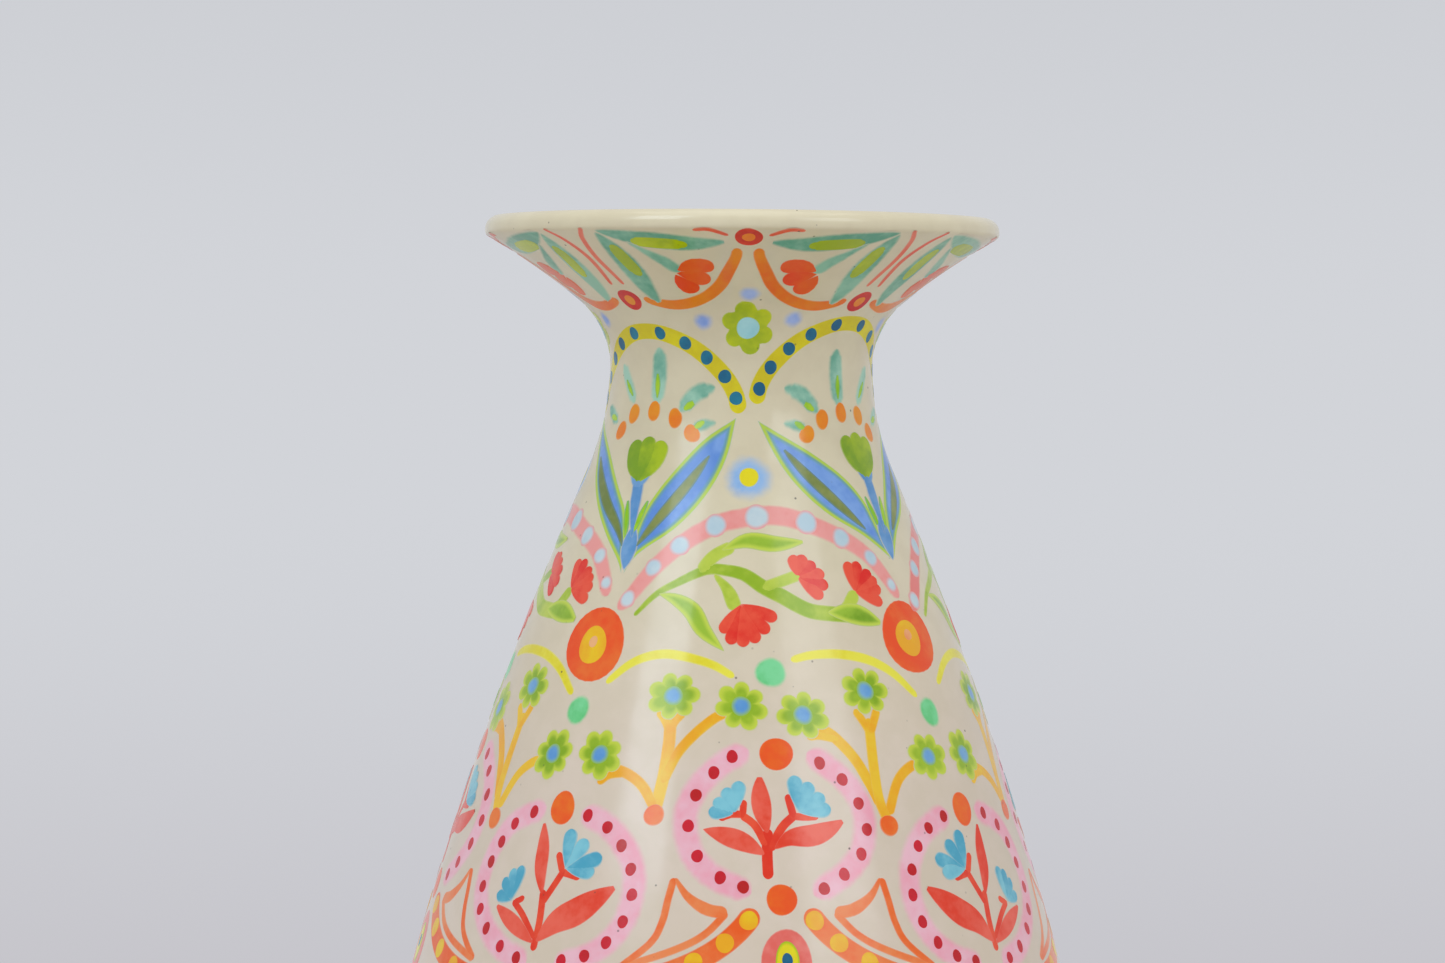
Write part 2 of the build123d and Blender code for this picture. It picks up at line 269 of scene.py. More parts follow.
def rosette(petals, turn, depth):
    """Distance of a flower's edge from its middle, all the way round."""
    way = np.linspace(0, 2 * np.pi, 10 * petals, endpoint=False)
    lobes = np.abs(np.cos(petals * (way - math.radians(turn)) / 2)) ** 0.6
    return 1 - depth * (1 - lobes) + 0.06 * np.sin(2 * way + 2 * np.pi * rng.random())


def dab_faces(sides):
    """Faces of a dab's rings, closed by a hub on top and another underneath.
    A triangle repeats its last corner."""
    rings = len(SPOT_RINGS) - 1
    k = np.arange(sides)
    after = (k + 1) % sides
    faces = []
    for inner in range(0, (rings - 1) * sides, sides):
        outer = inner + sides
        faces.append(np.stack((inner + k, outer + k, outer + after, inner + after), -1))
    top, bottom, rim = rings * sides, rings * sides + 1, (rings - 1) * sides
    faces.append(np.stack((np.full_like(k, top), k, after, after), -1))
    faces.append(np.stack((np.full_like(k, bottom), rim + after, rim + k, rim + k), -1))
    return np.vstack(faces)


class Paint:
    """Everything painted in one colour on one part of the vase: it becomes one mesh."""

    def __init__(self, name, ink, node, level=1):
        self.name, self.node = name, node
        self.slot, self.material, soft = ink
        self.bleed = BLEED * soft
        self.level = level
        self.points, self.normals, self.faces, self.edges, self.tones = [], [], [], [], []
        self.count = 0

    def thickness(self):
        """How thick the next stroke lies: later strokes lap over earlier ones."""
        return LAYER * self.level + LAP * (len(self.faces) % 9)

    def add(self, points, normals, faces, edge, tone):
        self.points.append(points)
        self.normals.append(normals)
        self.faces.append(faces + self.count)
        self.edges.append(edge)
        self.tones.append(np.full(len(points), tone))
        self.count += len(points)

    def between(self, low_side, high_side, half):
        """A patch between two lines of (angle, height)."""
        tone = rng.random()
        blend = (ACROSS[None, :, None] + 1) / 2
        grid = low_side[:, None] * (1 - blend) + high_side[:, None] * blend
        edge = (1 - np.abs(ACROSS))[None, :] * half[:, None]
        top = on_wall(grid[..., 0], grid[..., 1], coat(edge, self.thickness()))
        middle = ((low_side + high_side) / 2).T
        under = on_wall(*middle, UNDERSIDE)
        normals = np.concatenate((facing(grid[..., 0], grid[..., 1]), facing(*middle)[:, None]), 1)
        rows, columns = len(half), len(ACROSS)
        ring = np.concatenate((top, under[:, None]), 1).reshape(-1, 3)
        wide = columns + 1
        r, c = np.meshgrid(np.arange(rows - 1), np.arange(wide), indexing="ij")
        here, beside = r * wide + c, r * wide + (c + 1) % wide
        faces = np.stack((here, beside, beside + wide, here + wide), -1).reshape(-1, 4)
        along, across = np.diff(middle, axis=1), (high_side - low_side)[1:].T
        if np.sum(along[0] * across[1] - along[1] * across[0]) > 0:
            faces = faces[:, ::-1]
        edge_all = np.concatenate((edge, np.zeros((rows, 1))), 1).ravel()
        self.add(ring, normals.reshape(-1, 3), faces, edge_all, tone)

    def stroke(self, points, width, shape=even):
        """A brush stroke along the points."""
        path = lengthened(spline(points), self.bleed)
        low, high, half = stroke_edges(path, width + 2 * self.bleed, shape)
        self.between(high, low, half)

    def strokes(self, here, table, shape=even):
        """Strokes from rows of places, width and, where it differs, the stroke's own shape."""
        for places, width, *own_shape in table:
            self.stroke(here(places), width, *(own_shape or [shape]))

    def panel(self, side_a, side_b, count=44):
        """A leaf between two sides that meet at both ends."""
        lines = []
        for side in (side_a, side_b):
            path = spline(side)
            run = np.concatenate(([0], np.cumsum(np.hypot(*steps_in_mm(path).T))))
            places = run[-1] * (1 - np.cos(np.linspace(0, np.pi, count))) / 2
            lines.append(np.column_stack([np.interp(places, run, path[:, k]) for k in (0, 1)]))
        a, b = lines
        gap = b - a
        middle = (a[:, 1] + b[:, 1]) / 2
        half = np.hypot(gap[:, 0] / degrees_per_mm(middle), gap[:, 1] / rise_per_mm(middle)) / 2
        self.between(a, b, np.maximum(half, THINNEST))

    def spot(self, place, wide, tall=None, tilt=0.0, outline=None):
        """A dab, sized in millimetres from its middle to its edge: an uneven oval, or the outline."""
        tone = rng.random()
        tall = (wide if tall is None else tall) + self.bleed
        wide = wide + self.bleed
        angle, height = place
        wave = uneven_round() if outline is None else outline
        sides = len(wave)
        turn = np.linspace(0, 2 * np.pi, sides, endpoint=False)
        lean = math.radians(tilt)
        x, y = wide * wave * np.cos(turn), tall * wave * np.sin(turn)
        right, up = x * math.cos(lean) + y * math.sin(lean), y * math.cos(lean) - x * math.sin(lean)
        rings = SPOT_RINGS[1:, None]
        angles = angle + rings * right * degrees_per_mm(height)
        heights = height + rings * up * rise_per_mm(height)
        edge = (1 - rings) * min(wide, tall) * wave
        body = on_wall(angles, heights, coat(edge, self.thickness())).reshape(-1, 3)
        hub = np.full(2, angle), np.full(2, height)
        under = UNDERSIDE - max(wide, tall) ** 2 / (2 * TIGHTEST_BEND)
        ends = on_wall(*hub, np.array((coat(min(wide, tall), self.thickness()), under)))
        normals = np.vstack((facing(angles, heights).reshape(-1, 3), facing(*hub)))
        edge_all = np.concatenate((edge.ravel(), [min(wide, tall), 0.0]))
        self.add(np.vstack((body, ends)), normals, dab_faces(sides), edge_all, tone)

    def piece(self):
        """Makes the mesh, and puts it on the frame."""
        faces = np.vstack(self.faces)
        triangle = faces[:, 2] == faces[:, 3]
        corners = [tuple(f[:3]) if flat else tuple(f) for f, flat in zip(faces.tolist(), triangle)]
        mesh = bpy.data.meshes.new(self.name)
        mesh.from_pydata(np.vstack(self.points).tolist(), [], corners)
        for name, values in (("edge", self.edges), ("tone", self.tones)):
            field = mesh.attributes.new(name, "FLOAT", "POINT")
            field.data.foreach_set("value", np.concatenate(values).astype(np.float32))
        mesh.polygons.foreach_set("use_smooth", np.ones(len(mesh.polygons), bool))
        mesh.normals_split_custom_set_from_vertices(np.vstack(self.normals).tolist())
        place_piece(mesh, self.material, [self.node])


def place_piece(mesh, material, nodes):
    mesh.materials.append(material)
    mesh.update()
    obj = bpy.data.objects.new(mesh.name, mesh)
    bpy.context.scene.collection.objects.link(obj)
    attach(obj, "root")
    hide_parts(*nodes)
    return obj


def at(centre, side=1, rise=0.0):
    """A function that moves a motif's (angle, height) places round the vase."""
    def moved(places):
        return [(centre + side * angle, height + rise) for angle, height in places]
    return moved


def quarters(centre):
    return [centre + QUARTER * k for k in range(4)]


# ---- materials

# colours are sRGB, 0-255
NECK_CREAM = ((232, 221, 189), (226, 214, 181))        # pale and dull patches of the tin glaze
BELLY_CREAM = ((229, 212, 194), (222, 205, 184))
CREAM_DEEP = (206, 192, 160)
CREAM_CHANGE = (0.19, 0.275)   # heights in metres between which belly cream turns to neck cream
PATCH_SCALE = 14.0             # pale and dull patches, in noise cells to a metre, as all scales are
MOTTLE_SCALE = 110.0
MOTTLE_SHARE = 0.22            # how much of the deep cream the mottles show
SPECK = (70, 58, 46)
SPECK_CELLS = 210.0            # cells to a metre, each with at most one speck
SPECK_RARITY = 0.62            # share of the cells that have none
SPECK_SIZE = (0.035, 0.085)    # dark middle and outer edge of a speck, in cells
GAIN = 1.32                    # a paint is mixed this much lighter, because the wall is shaded
VEIL = 0.028                   # and darker by the light that the gloss adds
WASH_LIMIT = 0.7               # strokes with a crisper edge than this end in a thin wash
WASH = 0.55                    # strength of that wash
POOL_SCALE = 95.0              # pools of thicker paint
GRAIN_SCALE = 480.0            # grain of the paint
POOL_SHARE = 0.75
TONE_SHARE = 0.22              # how far one stroke differs from the next
RAGGEDNESS = 0.35
GLOSS = (0.12, 0.2)            # roughness of the glaze
SWELL = 0.10                   # strength of the glaze's slow waves
SWELL_SCALE = 55.0
BUMP_HEIGHT = 0.0006           # metres between the highest and the lowest place of a bump
CLAY_TONES = ((196, 158, 122), (178, 138, 104))
CLAY_GRIT = (128, 96, 72)
GRIT_SCALE = 900.0


def linear(rgb):
    """Scene colour of an sRGB colour given as 0-255."""
    c = np.array(rgb, float) / 255
    return (*np.where(c <= 0.04045, c / 12.92, ((c + 0.055) / 1.055) ** 2.4), 1.0)


def vivid(rgb):
    """Scene colour of a paint that looks like rgb on the vase, in its light and under its gloss."""
    return (*np.clip(np.array(linear(rgb)[:3]) * GAIN - VEIL, 0.0, 0.92), 1.0)


class Nodes:
    """A short way to write a node tree."""

    def __init__(self, tree):
        self.tree = tree

    def add(self, kind, **settings):
        node = self.tree.nodes.new(kind)
        for name, value in settings.items():
            setattr(node, name, value)
        return node

    def link(self, source, target):
        self.tree.links.new(source, target)

    def noise(self, space, scale, detail=3.0, roughness=0.55):
        node = self.add("ShaderNodeTexNoise")
        node.inputs["Scale"].default_value = scale
        node.inputs["Detail"].default_value = detail
        node.inputs["Roughness"].default_value = roughness
        self.link(space, node.inputs["Vector"])
        return node.outputs["Fac"]

    def give(self, socket, value):
        """Sets a socket to a number or a colour, or links another node's output to it."""
        if isinstance(value, (int, float, tuple)):
            socket.default_value = value
        else:
            self.link(value, socket)

    def spread(self, value, low, high, to_low=0.0, to_high=1.0):
        """Moves a value smoothly from to_low to to_high as it goes from low to high."""
        node = self.add("ShaderNodeMapRange", interpolation_type="SMOOTHSTEP")
        limits = {"From Min": low, "From Max": high, "To Min": to_low, "To Max": to_high}
        for name, limit in limits.items():
            node.inputs[name].default_value = limit
        self.link(value, node.inputs["Value"])
        return node.outputs["Result"]

    def math(self, operation, a, b):
        node = self.add("ShaderNodeMath", operation=operation)
        for socket, value in zip(node.inputs, (a, b)):
            self.give(socket, value)
        return node.outputs[0]

    def mix(self, factor, a, b):
        """Colour a where the factor is 0, colour b where it is 1."""
        node = self.add("ShaderNodeMix", data_type="RGBA")
        sockets = node.inputs["Factor"], node.inputs[6], node.inputs[7]
        for socket, value in zip(sockets, (factor, a, b)):
            self.give(socket, value)
        return node.outputs[2]

    def attribute(self, name):
        return self.add("ShaderNodeAttribute", attribute_name=name).outputs["Fac"]


def cream_group():
    """The tin glaze's own colour: mottled cream with a few dark specks."""
    group = bpy.data.node_groups.new("cream_glaze_colour", "ShaderNodeTree")
    group.interface.new_socket("Color", in_out="OUTPUT", socket_type="NodeSocketColor")
    group.interface.new_socket("Swell", in_out="OUTPUT", socket_type="NodeSocketFloat")
    group.interface.new_socket("Speck", in_out="OUTPUT", socket_type="NodeSocketFloat")
    n = Nodes(group)
    out = n.add("NodeGroupOutput")
    space = n.add("ShaderNodeTexCoord").outputs["Object"]
    broad = n.spread(n.noise(space, PATCH_SCALE, 2.0), 0.32, 0.68)
    fine = n.spread(n.noise(space, MOTTLE_SCALE, 4.0), 0.35, 0.65)
    split = n.add("ShaderNodeSeparateXYZ")
    n.link(space, split.inputs[0])
    rise = n.spread(split.outputs["Z"], *CREAM_CHANGE)
    pale = n.mix(rise, linear(BELLY_CREAM[0]), linear(NECK_CREAM[0]))
    dull = n.mix(rise, linear(BELLY_CREAM[1]), linear(NECK_CREAM[1]))
    colour = n.mix(broad, pale, dull)
    colour = n.mix(n.math("MULTIPLY", fine, MOTTLE_SHARE), colour, linear(CREAM_DEEP))
    cells = n.add("ShaderNodeTexVoronoi")
    cells.inputs["Scale"].default_value = SPECK_CELLS
    n.link(space, cells.inputs["Vector"])
    chance = n.add("ShaderNodeSeparateColor")
    n.link(cells.outputs["Color"], chance.inputs[0])
    rare = n.math("GREATER_THAN", chance.outputs[0], SPECK_RARITY)
    near = n.spread(cells.outputs["Distance"], *SPECK_SIZE, 1.0, 0.0)
    speck = n.math("MULTIPLY", n.math("MULTIPLY", rare, near), chance.outputs[1])
    n.link(colour, out.inputs["Color"])
    n.link(speck, out.inputs["Speck"])
    n.link(n.noise(space, SWELL_SCALE, 2.0), out.inputs["Swell"])
    return group


def shader(n, colour, roughness, swell=None, strength=0.0):
    """A shiny or matt surface, with waves of the given strength where there is a swell."""
    surface = n.add("ShaderNodeBsdfPrincipled")
    surface.inputs["IOR"].default_value = 1.5
    n.link(colour, surface.inputs["Base Color"])
    n.give(surface.inputs["Roughness"], roughness)
    if swell is not None:
        bump = n.add("ShaderNodeBump")
        bump.inputs["Strength"].default_value = strength
        bump.inputs["Distance"].default_value = BUMP_HEIGHT
        n.link(swell, bump.inputs["Height"])
        n.link(bump.outputs["Normal"], surface.inputs["Normal"])
    out = n.add("ShaderNodeOutputMaterial")
    n.link(surface.outputs[0], out.inputs["Surface"])


def new_material(name):
    material = bpy.data.materials.new(name)
    material.use_nodes = True
    material.node_tree.nodes.clear()
    return material, Nodes(material.node_tree)


def glaze_gloss(n, swell):
    return n.spread(swell, 0.3, 0.7, *GLOSS)


def cream_glaze(cream):
    material, n = new_material("cream_glaze")
    ground = n.add("ShaderNodeGroup", node_tree=cream)
    swell = ground.outputs["Swell"]
    colour = n.mix(ground.outputs["Speck"], ground.outputs["Color"], linear(SPECK))
    shader(n, colour, glaze_gloss(n, swell), swell, SWELL)
    return material


def enamel(name, cream, light, deep, soft, over=None, rim=None):
    """Brushed enamel under clear glaze: two tones pooled along the stroke, thinning at its
    edges over soft millimetres to the cream, or to the enamel that it is painted over."""
    material, n = new_material(name)
    ground = n.add("ShaderNodeGroup", node_tree=cream)
    space = n.add("ShaderNodeTexCoord").outputs["Object"]
    edge, tone = n.attribute("edge"), n.attribute("tone")
    pool = n.noise(space, POOL_SCALE, 3.0)
    grain = n.noise(space, GRAIN_SCALE, 3.0)
    mixed = n.math("ADD", n.math("MULTIPLY", pool, POOL_SHARE),
                   n.math("MULTIPLY", grain, 1 - POOL_SHARE))
    mixed = n.math("ADD", mixed, n.math("MULTIPLY", n.math("SUBTRACT", tone, 0.5), TONE_SHARE))
    colour = n.mix(n.spread(mixed, 0.34, 0.66), vivid(light), vivid(deep))
    if rim is not None:
        for start, stop, shade in rim:
            colour = n.mix(n.spread(edge, start, stop, 1.0, 0.0), colour, vivid(shade))
    ragged = n.math("ADD", edge, n.math("MULTIPLY", n.math("SUBTRACT", grain, 0.5),
                                        RAGGEDNESS * soft))
    amount = n.spread(ragged, 0.02, soft)
    if over is not None:
        under = vivid(over)
    elif soft < WASH_LIMIT:
        under = n.mix(WASH, ground.outputs["Color"], vivid(light))
    else:
        under = ground.outputs["Color"]
    colour = n.mix(amount, under, colour)
    colour = n.mix(ground.outputs["Speck"], colour, linear(SPECK))
    swell = ground.outputs["Swell"]
    shader(n, colour, glaze_gloss(n, swell), swell, SWELL)
    return material


def bare_clay():
    material, n = new_material("bare_clay")
    space = n.add("ShaderNodeTexCoord").outputs["Object"]
    grit = n.noise(space, GRIT_SCALE, 6.0, 0.7)
    broad = n.noise(space, 40.0, 3.0)
    colour = n.mix(n.spread(broad, 0.35, 0.65), *map(linear, CLAY_TONES))
    colour = n.mix(n.spread(grit, 0.60, 0.75, 0.0, 0.5), colour, linear(CLAY_GRIT))
    shader(n, colour, n.spread(grit, 0.3, 0.7, 0.75, 0.95), grit, 0.5)
    return material


# ---- glaze

def lip_arc(count=26):
    """The rounded face of the lip, from its outer corner over to the inside."""
    outer = np.array((RIM_RADIUS, HEIGHT - LIP_DEPTH))
    side = outward(RIM_HEADING)
    inner = outer - side * WALL
    crown = np.array((-side[1], side[0])) * LIP_BULGE
    t = np.linspace(0, 1, count)[:, None]
    return outer + (inner - outer) * t + crown * 4 * t * (1 - t)


def inside_wall():
    """The inside from the lip down, round the corner of the floor to the axis."""
    places = WALK[:, :2] - WALL * outward(WALK[:, 2])
    wall = places[places[:, 1] > FLOOR_TOP + FLOOR_ROUNDING]
    corner = np.array((wall[-1, 0] - FLOOR_ROUNDING, FLOOR_TOP + FLOOR_ROUNDING))
    bend = np.radians(np.linspace(0, -90, 12))
    round_corner = corner + FLOOR_ROUNDING * np.column_stack((np.cos(bend), np.sin(bend)))
    across = np.linspace(round_corner[-1, 0], AXIS_GAP, 16)[1:]
    floor = np.column_stack((across, np.full_like(across, FLOOR_TOP)))
    return np.vstack((wall, round_corner, floor))


def eased_lip(outline, reach=4.0, rounds=6, spacing=0.25):
    """Rounds the lip's corners, as a thick glaze does."""
    run = np.concatenate(([0], np.cumsum(np.hypot(*np.diff(outline, axis=0).T))))
    near = np.abs(outline[:, 1] - (HEIGHT - LIP_DEPTH / 2)) < reach + LIP_DEPTH / 2
    first, last = np.flatnonzero(near)[[0, -1]]
    places = np.arange(run[first], run[last], spacing)
    part = np.column_stack([np.interp(places, run, outline[:, k]) for k in (0, 1)])
    for _ in range(rounds):
        part[1:-1] = (part[:-2] + 2 * part[1:-1] + part[2:]) / 4
    return np.vstack((outline[:first], part, outline[last:]))


def glaze_coat(material, around=300):
    """The tin glaze as one skin, from the bare foot over the lip to the floor inside."""
    outside = WALK[::-1, :2]
    outside = outside[outside[:, 1] > FOOT_TOP]
    outline = eased_lip(np.vstack((outside[:-1], lip_arc(), inside_wall()[1:])))
    way = np.gradient(outline, axis=0)
    way /= np.hypot(*way.T)[:, None]
    inward = np.column_stack((-way[:, 1], way[:, 0])) * SKIN
    back = (outline + inward)[::-4]
    back[:, 0] = np.maximum(back[:, 0], AXIS_GAP / 2)
    section = np.vstack((outline, back))
    turn = np.linspace(0, 2 * np.pi, around, endpoint=False)
    points = np.stack((
        section[:, 0] * np.sin(turn)[:, None],
        -section[:, 0] * np.cos(turn)[:, None],
        np.repeat(section[None, :, 1], around, 0),
    ), -1).reshape(-1, 3) * MM
    size = len(section)
    s, c = np.meshgrid(np.arange(around), np.arange(size), indexing="ij")
    here, above = s * size + c, s * size + (c + 1) % size
    shift = ((s + 1) % around) * size - s * size
    faces = np.stack((here, here + shift, above + shift, above), -1).reshape(-1, 4)
    mesh = bpy.data.meshes.new("tin_glaze")
    mesh.from_pydata(points.tolist(), [], faces.tolist())
    mesh.polygons.foreach_set("use_smooth", np.ones(len(mesh.polygons), bool))
    place_piece(mesh, material, ["outer_glaze", "lip_glaze", "inner_glaze"])


# ---- motifs, from the rim down

FLARE_SWAG = [(2.7, 330.3), (3.2, 328.2), (5.6, 324.7), (8.5, 321.6), (13.5, 319.0), (20.0, 317.4),
              (27.0, 316.9), (33.5, 317.5), (38.2, 318.4)]
FLARE_LEAVES = [
    ([(36.0, 334.6), (28.7, 333.1), (21.0, 332.1), (13.5, 331.5), (5.3, 331.9)], 7.2),
    ([(36.4, 334.2), (35.3, 329.5), (34.6, 325.2), (34.0, 320.5), (32.4, 317.2)], 6.8),
    ([(30.0, 331.8), (25.5, 328.8), (22.5, 327.0), (20.4, 325.0)], 4.0, slim_start),
]
FLARE_HEARTS = [
    ([(28.8, 332.1), (22.0, 331.6), (15.0, 331.2)], 4.8),
    ([(35.0, 331.3), (34.6, 328.0), (33.4, 324.0)], 4.2),
]
FLARE_TULIP = [
    ([(20.9, 325.0), (14.6, 326.4), (9.6, 325.6)], 5.6),
    ([(21.2, 324.6), (16.5, 323.8), (11.4, 322.6)], 5.6),
    ([(21.6, 324.2), (20.0, 322.0), (16.3, 320.2)], 5.6),
]
FLARE_LINES = [
    ([(12.4, 334.6), (8.9, 334.7), (4.8, 333.4)], 1.5),
    ([(39.4, 335.2), (42.0, 332.6), (43.6, 328.0), (42.4, 322.0)], 1.5),
]


def paint_flare(inks):
    """Leaves, small tulips and swags under the lip."""
    swag = Paint("flare_swags", inks["orange"], "enamel_flare_arcs")
    leaves = Paint("flare_leaves", inks["teal"], "enamel_flare_arcs")
    hearts = Paint("flare_leaf_hearts", inks["heart_lime"], "enamel_flare_arcs", 2)
    tulips = Paint("flare_tulips", inks["vermilion"], "enamel_flare_arcs", 2)
    lines = Paint("flare_lines", inks["coral_line"], "enamel_flare_arcs")
    rings = Paint("rim_dots", inks["red"], "enamel_rim_dots")
    cores = Paint("rim_dot_cores", inks["amber"], "enamel_rim_dots", 2)
    for centre in quarters(RIM_CENTRE):
        for side in (-1, 1):
            here = at(centre, side)
            swag.stroke(here(FLARE_SWAG), 3.4, brushed)
            leaves.strokes(here, FLARE_LEAVES, full_leaf)
            hearts.strokes(here, FLARE_HEARTS, brushed)
            tulips.strokes(here, FLARE_TULIP, petal)
            lines.strokes(here, FLARE_LINES, brushed)
        rings.spot((centre, 333.0), 3.5, 3.9)
        cores.spot((centre, 333.0), 1.7, 1.9)
        low = centre + EIGHTH
        rings.spot((low, 318.2), 3.3, 3.8)
        cores.spot((low, 318.2), 1.6, 1.9)
    return [swag, leaves, hearts, tulips, lines, rings, cores]


ARCH = [(42.8, 291.0), (41.0, 295.6), (36.2, 300.2), (27.6, 305.1), (18.6, 308.5), (6.5, 311.0)]
ARCH_DOTS = [(41.3, 294.6), (36.4, 300.0), (28.4, 304.7), (19.0, 308.3), (7.5, 310.8)]
FAN_DOTS = [(-14.5, 285.7, 20), (-7.5, 289.9, 8), (4.2, 290.6, 0), (15.2, 288.8, -12),
            (23.4, 285.0, -35)]
FAN_DROPS = [  # places, width
    ([(5.2, 292.6), (5.6, 299.0), (5.8, 306.0)], 4.6),
    ([(-8.6, 293.0), (-13.5, 297.4), (-18.5, 302.0)], 3.3),
    ([(-19.4, 287.8), (-24.5, 289.8), (-30.5, 291.6)], 3.0),
    ([(17.6, 290.8), (24.2, 294.9), (31.5, 296.4)], 4.2),
    ([(23.4, 286.2), (28.0, 287.2), (32.5, 287.6)], 2.8),
]
FAN_HEARTS = [
    ([(5.2, 293.2), (5.0, 297.0), (4.6, 301.0)], 1.5),
    ([(-9.0, 293.8), (-12.8, 296.4), (-16.4, 299.0)], 1.3),
    ([(-18.8, 288.2), (-23.0, 289.0), (-27.6, 289.6)], 1.6),
    ([(18.2, 290.6), (21.2, 291.9), (24.6, 293.2)], 1.9),
    ([(23.6, 286.0), (26.4, 287.2), (29.0, 288.2)], 1.7),
]


def arch_line(here):
    half = here(ARCH)
    other = here([(-angle, height) for angle, height in ARCH])
    return half + other[::-1]


def paint_neck_arches(inks):
    """Dotted arches, with a fan of drops on orange dots under each."""
    arches = Paint("neck_arches", inks["yellow"], "enamel_neck_arches")
    dots = Paint("neck_arch_dots", inks["navy"], "enamel_neck_arches", 2)
    fans = Paint("fan_dots", inks["fan_orange"], "enamel_fan_dots", 2)
    drops = Paint("fan_drops", inks["mist_teal"], "enamel_fan_dots")
    hearts = Paint("fan_hearts", inks["bright_lime"], "enamel_fan_dots", 2)
    for centre, rise, lean in ARCH_CENTRES:
        here = at(centre, 1, rise)
        arches.stroke(arch_line(here), 4.2)
        for side in (-1, 1):
            for place in at(centre, side, rise)(ARCH_DOTS):
                dots.spot(place, 1.65, 1.8)
        here = at(centre + 1.0 - lean, lean)
        for angle, height, tilt in FAN_DOTS:
            fans.spot(here([(angle, height)])[0], 1.9, 2.55, tilt * lean)
        drops.strokes(here, FAN_DROPS, brushed)
        hearts.strokes(here, FAN_HEARTS, leaf)
    return [arches, dots, fans, drops, hearts]


def paint_neck_flowers(inks):
    """A six-petalled flower between the arches, with three faint blue dabs."""
    petals = Paint("neck_flower_petals", inks["lime"], "enamel_neck_flowers")
    middles = Paint("neck_flower_middles", inks["pale_blue"], "enamel_neck_flowers", 3)
    dabs = Paint("neck_dabs", inks["blue_haze"], "enamel_neck_flowers")
    for centre in quarters(NECK_CENTRE):
        petals.spot((centre, 311.3), 6.9, outline=rosette(6, 98.0, 0.34))
        middles.spot((centre, 311.3), 2.9)
        dabs.spot((centre, 319.6), 2.3, 2.3)
        dabs.spot((centre - 18.0, 312.8), 2.0, 2.1)
        dabs.spot((centre + 18.0, 313.6), 2.0, 2.1)
    return [petals, middles, dabs]


LEAVES_A = [  # left leaf then right leaf: inner side, outer side, middle stroke
    ([(-0.2, 249.6), (-3.4, 262.7), (-10.3, 270.3), (-25.5, 280.3), (-43.0, 287.6), (-52.0, 289.5)],
     [(-0.2, 249.6), (-3.6, 253.6), (-11.8, 260.0), (-23.6, 268.6), (-36.0, 277.6), (-52.0, 289.5)],
     [(-2.2, 256.4), (-6.8, 261.6), (-16.4, 268.0), (-34.0, 279.6)]),
    ([(0.2, 249.6), (1.6, 263.0), (5.9, 270.6), (13.8, 278.2), (22.2, 284.0), (34.6, 289.2)],
     [(0.2, 249.6), (4.3, 255.0), (15.5, 261.4), (24.5, 269.4), (31.0, 278.7), (34.6, 289.2)],
     [(2.2, 256.4), (8.4, 263.4), (16.6, 271.6), (24.6, 279.8)]),
]
LEAVES_B = [
    ([(0.4, 250.6), (-2.6, 259.8), (-5.5, 266.0), (-12.5, 271.9), (-24.3, 277.5), (-36.5, 282.0),
      (-46.4, 285.6)],
     [(0.4, 250.6), (-10.4, 256.8), (-21.9, 261.7), (-31.1, 267.7), (-38.3, 274.7), (-46.4, 285.6)],
     [(-8.1, 258.2), (-18.2, 265.2), (-27.7, 271.8), (-36.5, 278.6)]),
    ([(0.7, 250.6), (2.7, 259.7), (8.2, 267.8), (21.4, 278.1), (37.6, 285.6)],
     [(0.7, 250.6), (8.1, 257.7), (19.2, 263.5), (31.4, 270.4), (37.4, 278.2), (37.6, 285.6)],
     [(5.0, 258.0), (12.0, 263.8), (20.4, 269.8), (28.0, 275.4)]),
]


def paint_neck_leaves(inks):
    """Pairs of long leaves rising from one foot, with a tulip standing between."""
    leaves = Paint("neck_leaves", inks["banded_leaf"], "enamel_neck_leaves")
    ribs = Paint("neck_leaf_ribs", inks["olive"], "enamel_neck_leaves", 2)
    stems = Paint("neck_tulip_stems", inks["soft_blue"], "enamel_neck_leaves", 2)
    tulips = Paint("neck_tulips", inks["leaf_green"], "enamel_neck_leaves", 3)
    sprays = Paint("neck_leaf_sprays", inks["bright_lime"], "enamel_neck_leaves", 2)
    for index, (centre, rise) in enumerate(LEAF_CENTRES):
        here = at(centre, 1, rise)
        for inner, outer, rib in (LEAVES_A, LEAVES_B)[index % 2]:
            leaves.panel(here(inner), here(outer))
            ribs.stroke(here(rib), 2.9, full_leaf)
        stems.stroke(here([(0.3, 250.8), (0.2, 255.5), (0.0, 262.5)]), 4.8, leaf)
        stem = at(centre, 1, rise / 2)
        lean = TULIP_LEANS[index % 2]
        stems.stroke(stem([(0.3, 259.0), (lean * 0.5, 266.0), (lean, 273.4)]), 3.4, slim_start)
        stems.stroke(stem([(lean, 270.5), (lean, 276.5)]), 6.4, petal)
        for side in (-1, 1):
            spray = at(centre + lean * 0.4, side, rise / 2)
            sprays.stroke(spray([(0.8, 258.0), (2.4, 263.0), (4.6, 269.0)]), 1.5, leaf)
        for reach, tip in ((-6.6, 283.2), (6.4, 283.0), (0.0, 284.0)):
            tulips.stroke(stem([(lean, 272.4), (lean + reach * 0.75, 277.4),
                                (lean + reach, tip)]), 5.0, petal)
    return [leaves, ribs, stems, tulips, sprays]


def paint_halo_dots(inks):
    halos = Paint("halos", inks["halo_blue"], "enamel_halo_dots")
    dots = Paint("halo_dots", inks["yellow_dot"], "enamel_halo_dots", 2)
    for centre in quarters(HALO_CENTRE):
        halos.spot((centre, 274.0), 5.0, 5.4)
        dots.spot((centre, 274.2), 2.4, 2.7)
    return [halos, dots]


